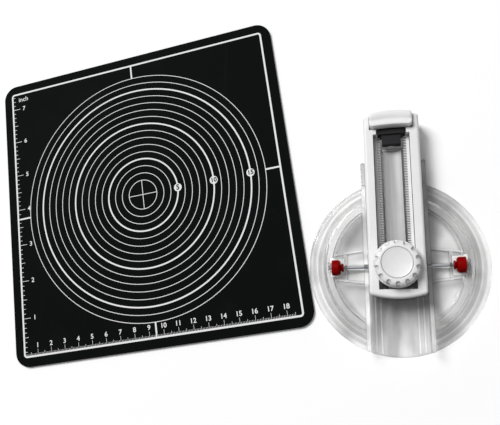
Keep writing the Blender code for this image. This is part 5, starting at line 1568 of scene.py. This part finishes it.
# %% [markdown]
# A flute starts as a round-ended scoop in the shoulder, gets deeper toward the rim, and ends in a
# small notch that runs down the rim. One cutter for each is drawn flat on the right, sloped along
# its floor, and turned to its place. They don't touch each other, so one boolean takes them all.

# %% Knob flutes
FLUTES = 14
FLUTE_RADIUS, FLUTE_MIDDLE, FLUTE_FLOOR, FLUTE_SLOPE = 1.3, 11.6, 25.0, 0.9
FLUTE_STEPS = 16
NOTCH_RADIUS, NOTCH_MIDDLE, NOTCH_STEPS = 1.15, 13.2, 40
KNOB_BEVEL = 0.14
scoop = [(KNOB_RADIUS + OVER, -FLUTE_RADIUS), (KNOB_RADIUS + OVER, FLUTE_RADIUS)]
for step in range(FLUTE_STEPS + 1):
    angle = math.pi * (0.5 + step / FLUTE_STEPS)
    scoop.append((FLUTE_MIDDLE + FLUTE_RADIUS * math.cos(angle), FLUTE_RADIUS * math.sin(angle)))
cutters = []
for flute in range(FLUTES):
    cutter = board("scoop", scoop, FLUTE_FLOOR, KNOB_HIGH + OVER * 2)
    for point in cutter.data.vertices:
        point.co.z -= FLUTE_SLOPE * (point.co.x - FLUTE_MIDDLE + FLUTE_RADIUS)
    notch = rod("notch", NOTCH_RADIUS, KNOB_LOW - OVER, KNOB_HIGH + OVER, NOTCH_STEPS)
    joined(cutter, shifted(notch, x=NOTCH_MIDDLE))
    cutter.data.transform(Matrix.Rotation(math.tau * (flute + 0.5) / FLUTES, 4, "Z"))
    cutters.append(cutter)
cut(knob_head, fused("flutes", cutters))
eased(knob_head, KNOB_BEVEL)
placed(knob_head, knob_white, "knob", "knob_white", "knob_head")

# %% [markdown]
# The cap is a shallow dish with a thin lip. The flange is a plain turned washer of the same
# plastic, whose edge is eased.

# %% Cap and flange
CAP_RADIUS, CAP_LOW, DISH_DEPTH = 8.5, 24.6, 0.8
CAP_LIP = ((0.0, 0.25), (0.08, 0.07), (0.25, 0.0), (0.42, 0.04))
DISH_IN, DISH_START, DISH_RINGS = 0.6, 0.12, 16
CAP_STEPS = 128
FLANGE_BORE, FLANGE_HUB, FLANGE_RADIUS = 1.9, 4.2, 13.5
FLANGE_HUB_LOW, FLANGE_UNDER, FLANGE_OVER = 17.0, 17.4, 18.6
FLANGE_ROUND, FLANGE_ROUND_STEPS = 0.3, 3

cap_profile = [(0.0, CAP_LOW), (CAP_RADIUS, CAP_LOW)]
cap_profile += [(CAP_RADIUS - inward, KNOB_HIGH - down) for inward, down in CAP_LIP]
for step in range(DISH_RINGS + 1):
    share = 1 - step / DISH_RINGS
    down = DISH_START + (DISH_DEPTH - DISH_START) * (1 - share**2)
    cap_profile.append(((CAP_RADIUS - DISH_IN) * share, KNOB_HIGH - down))
knob_cap = turned("knob_dished_cap", cap_profile, CAP_STEPS)
placed(knob_cap, knob_white, "knob", "knob_white", "knob_cap")

flange_profile = [
    (FLANGE_BORE, FLANGE_HUB_LOW),
    (FLANGE_HUB, FLANGE_HUB_LOW),
    (FLANGE_HUB, FLANGE_UNDER),
    (FLANGE_RADIUS, FLANGE_UNDER),
    (FLANGE_RADIUS, FLANGE_OVER),
    (FLANGE_BORE, FLANGE_OVER),
]
flange_outline = rounded(flange_profile, FLANGE_ROUND, FLANGE_ROUND_STEPS)
knob_flange = turned("knob_flange", flange_outline, CAP_STEPS)
placed(knob_flange, knob_white, "knob", "knob_white", "knob_skirt")
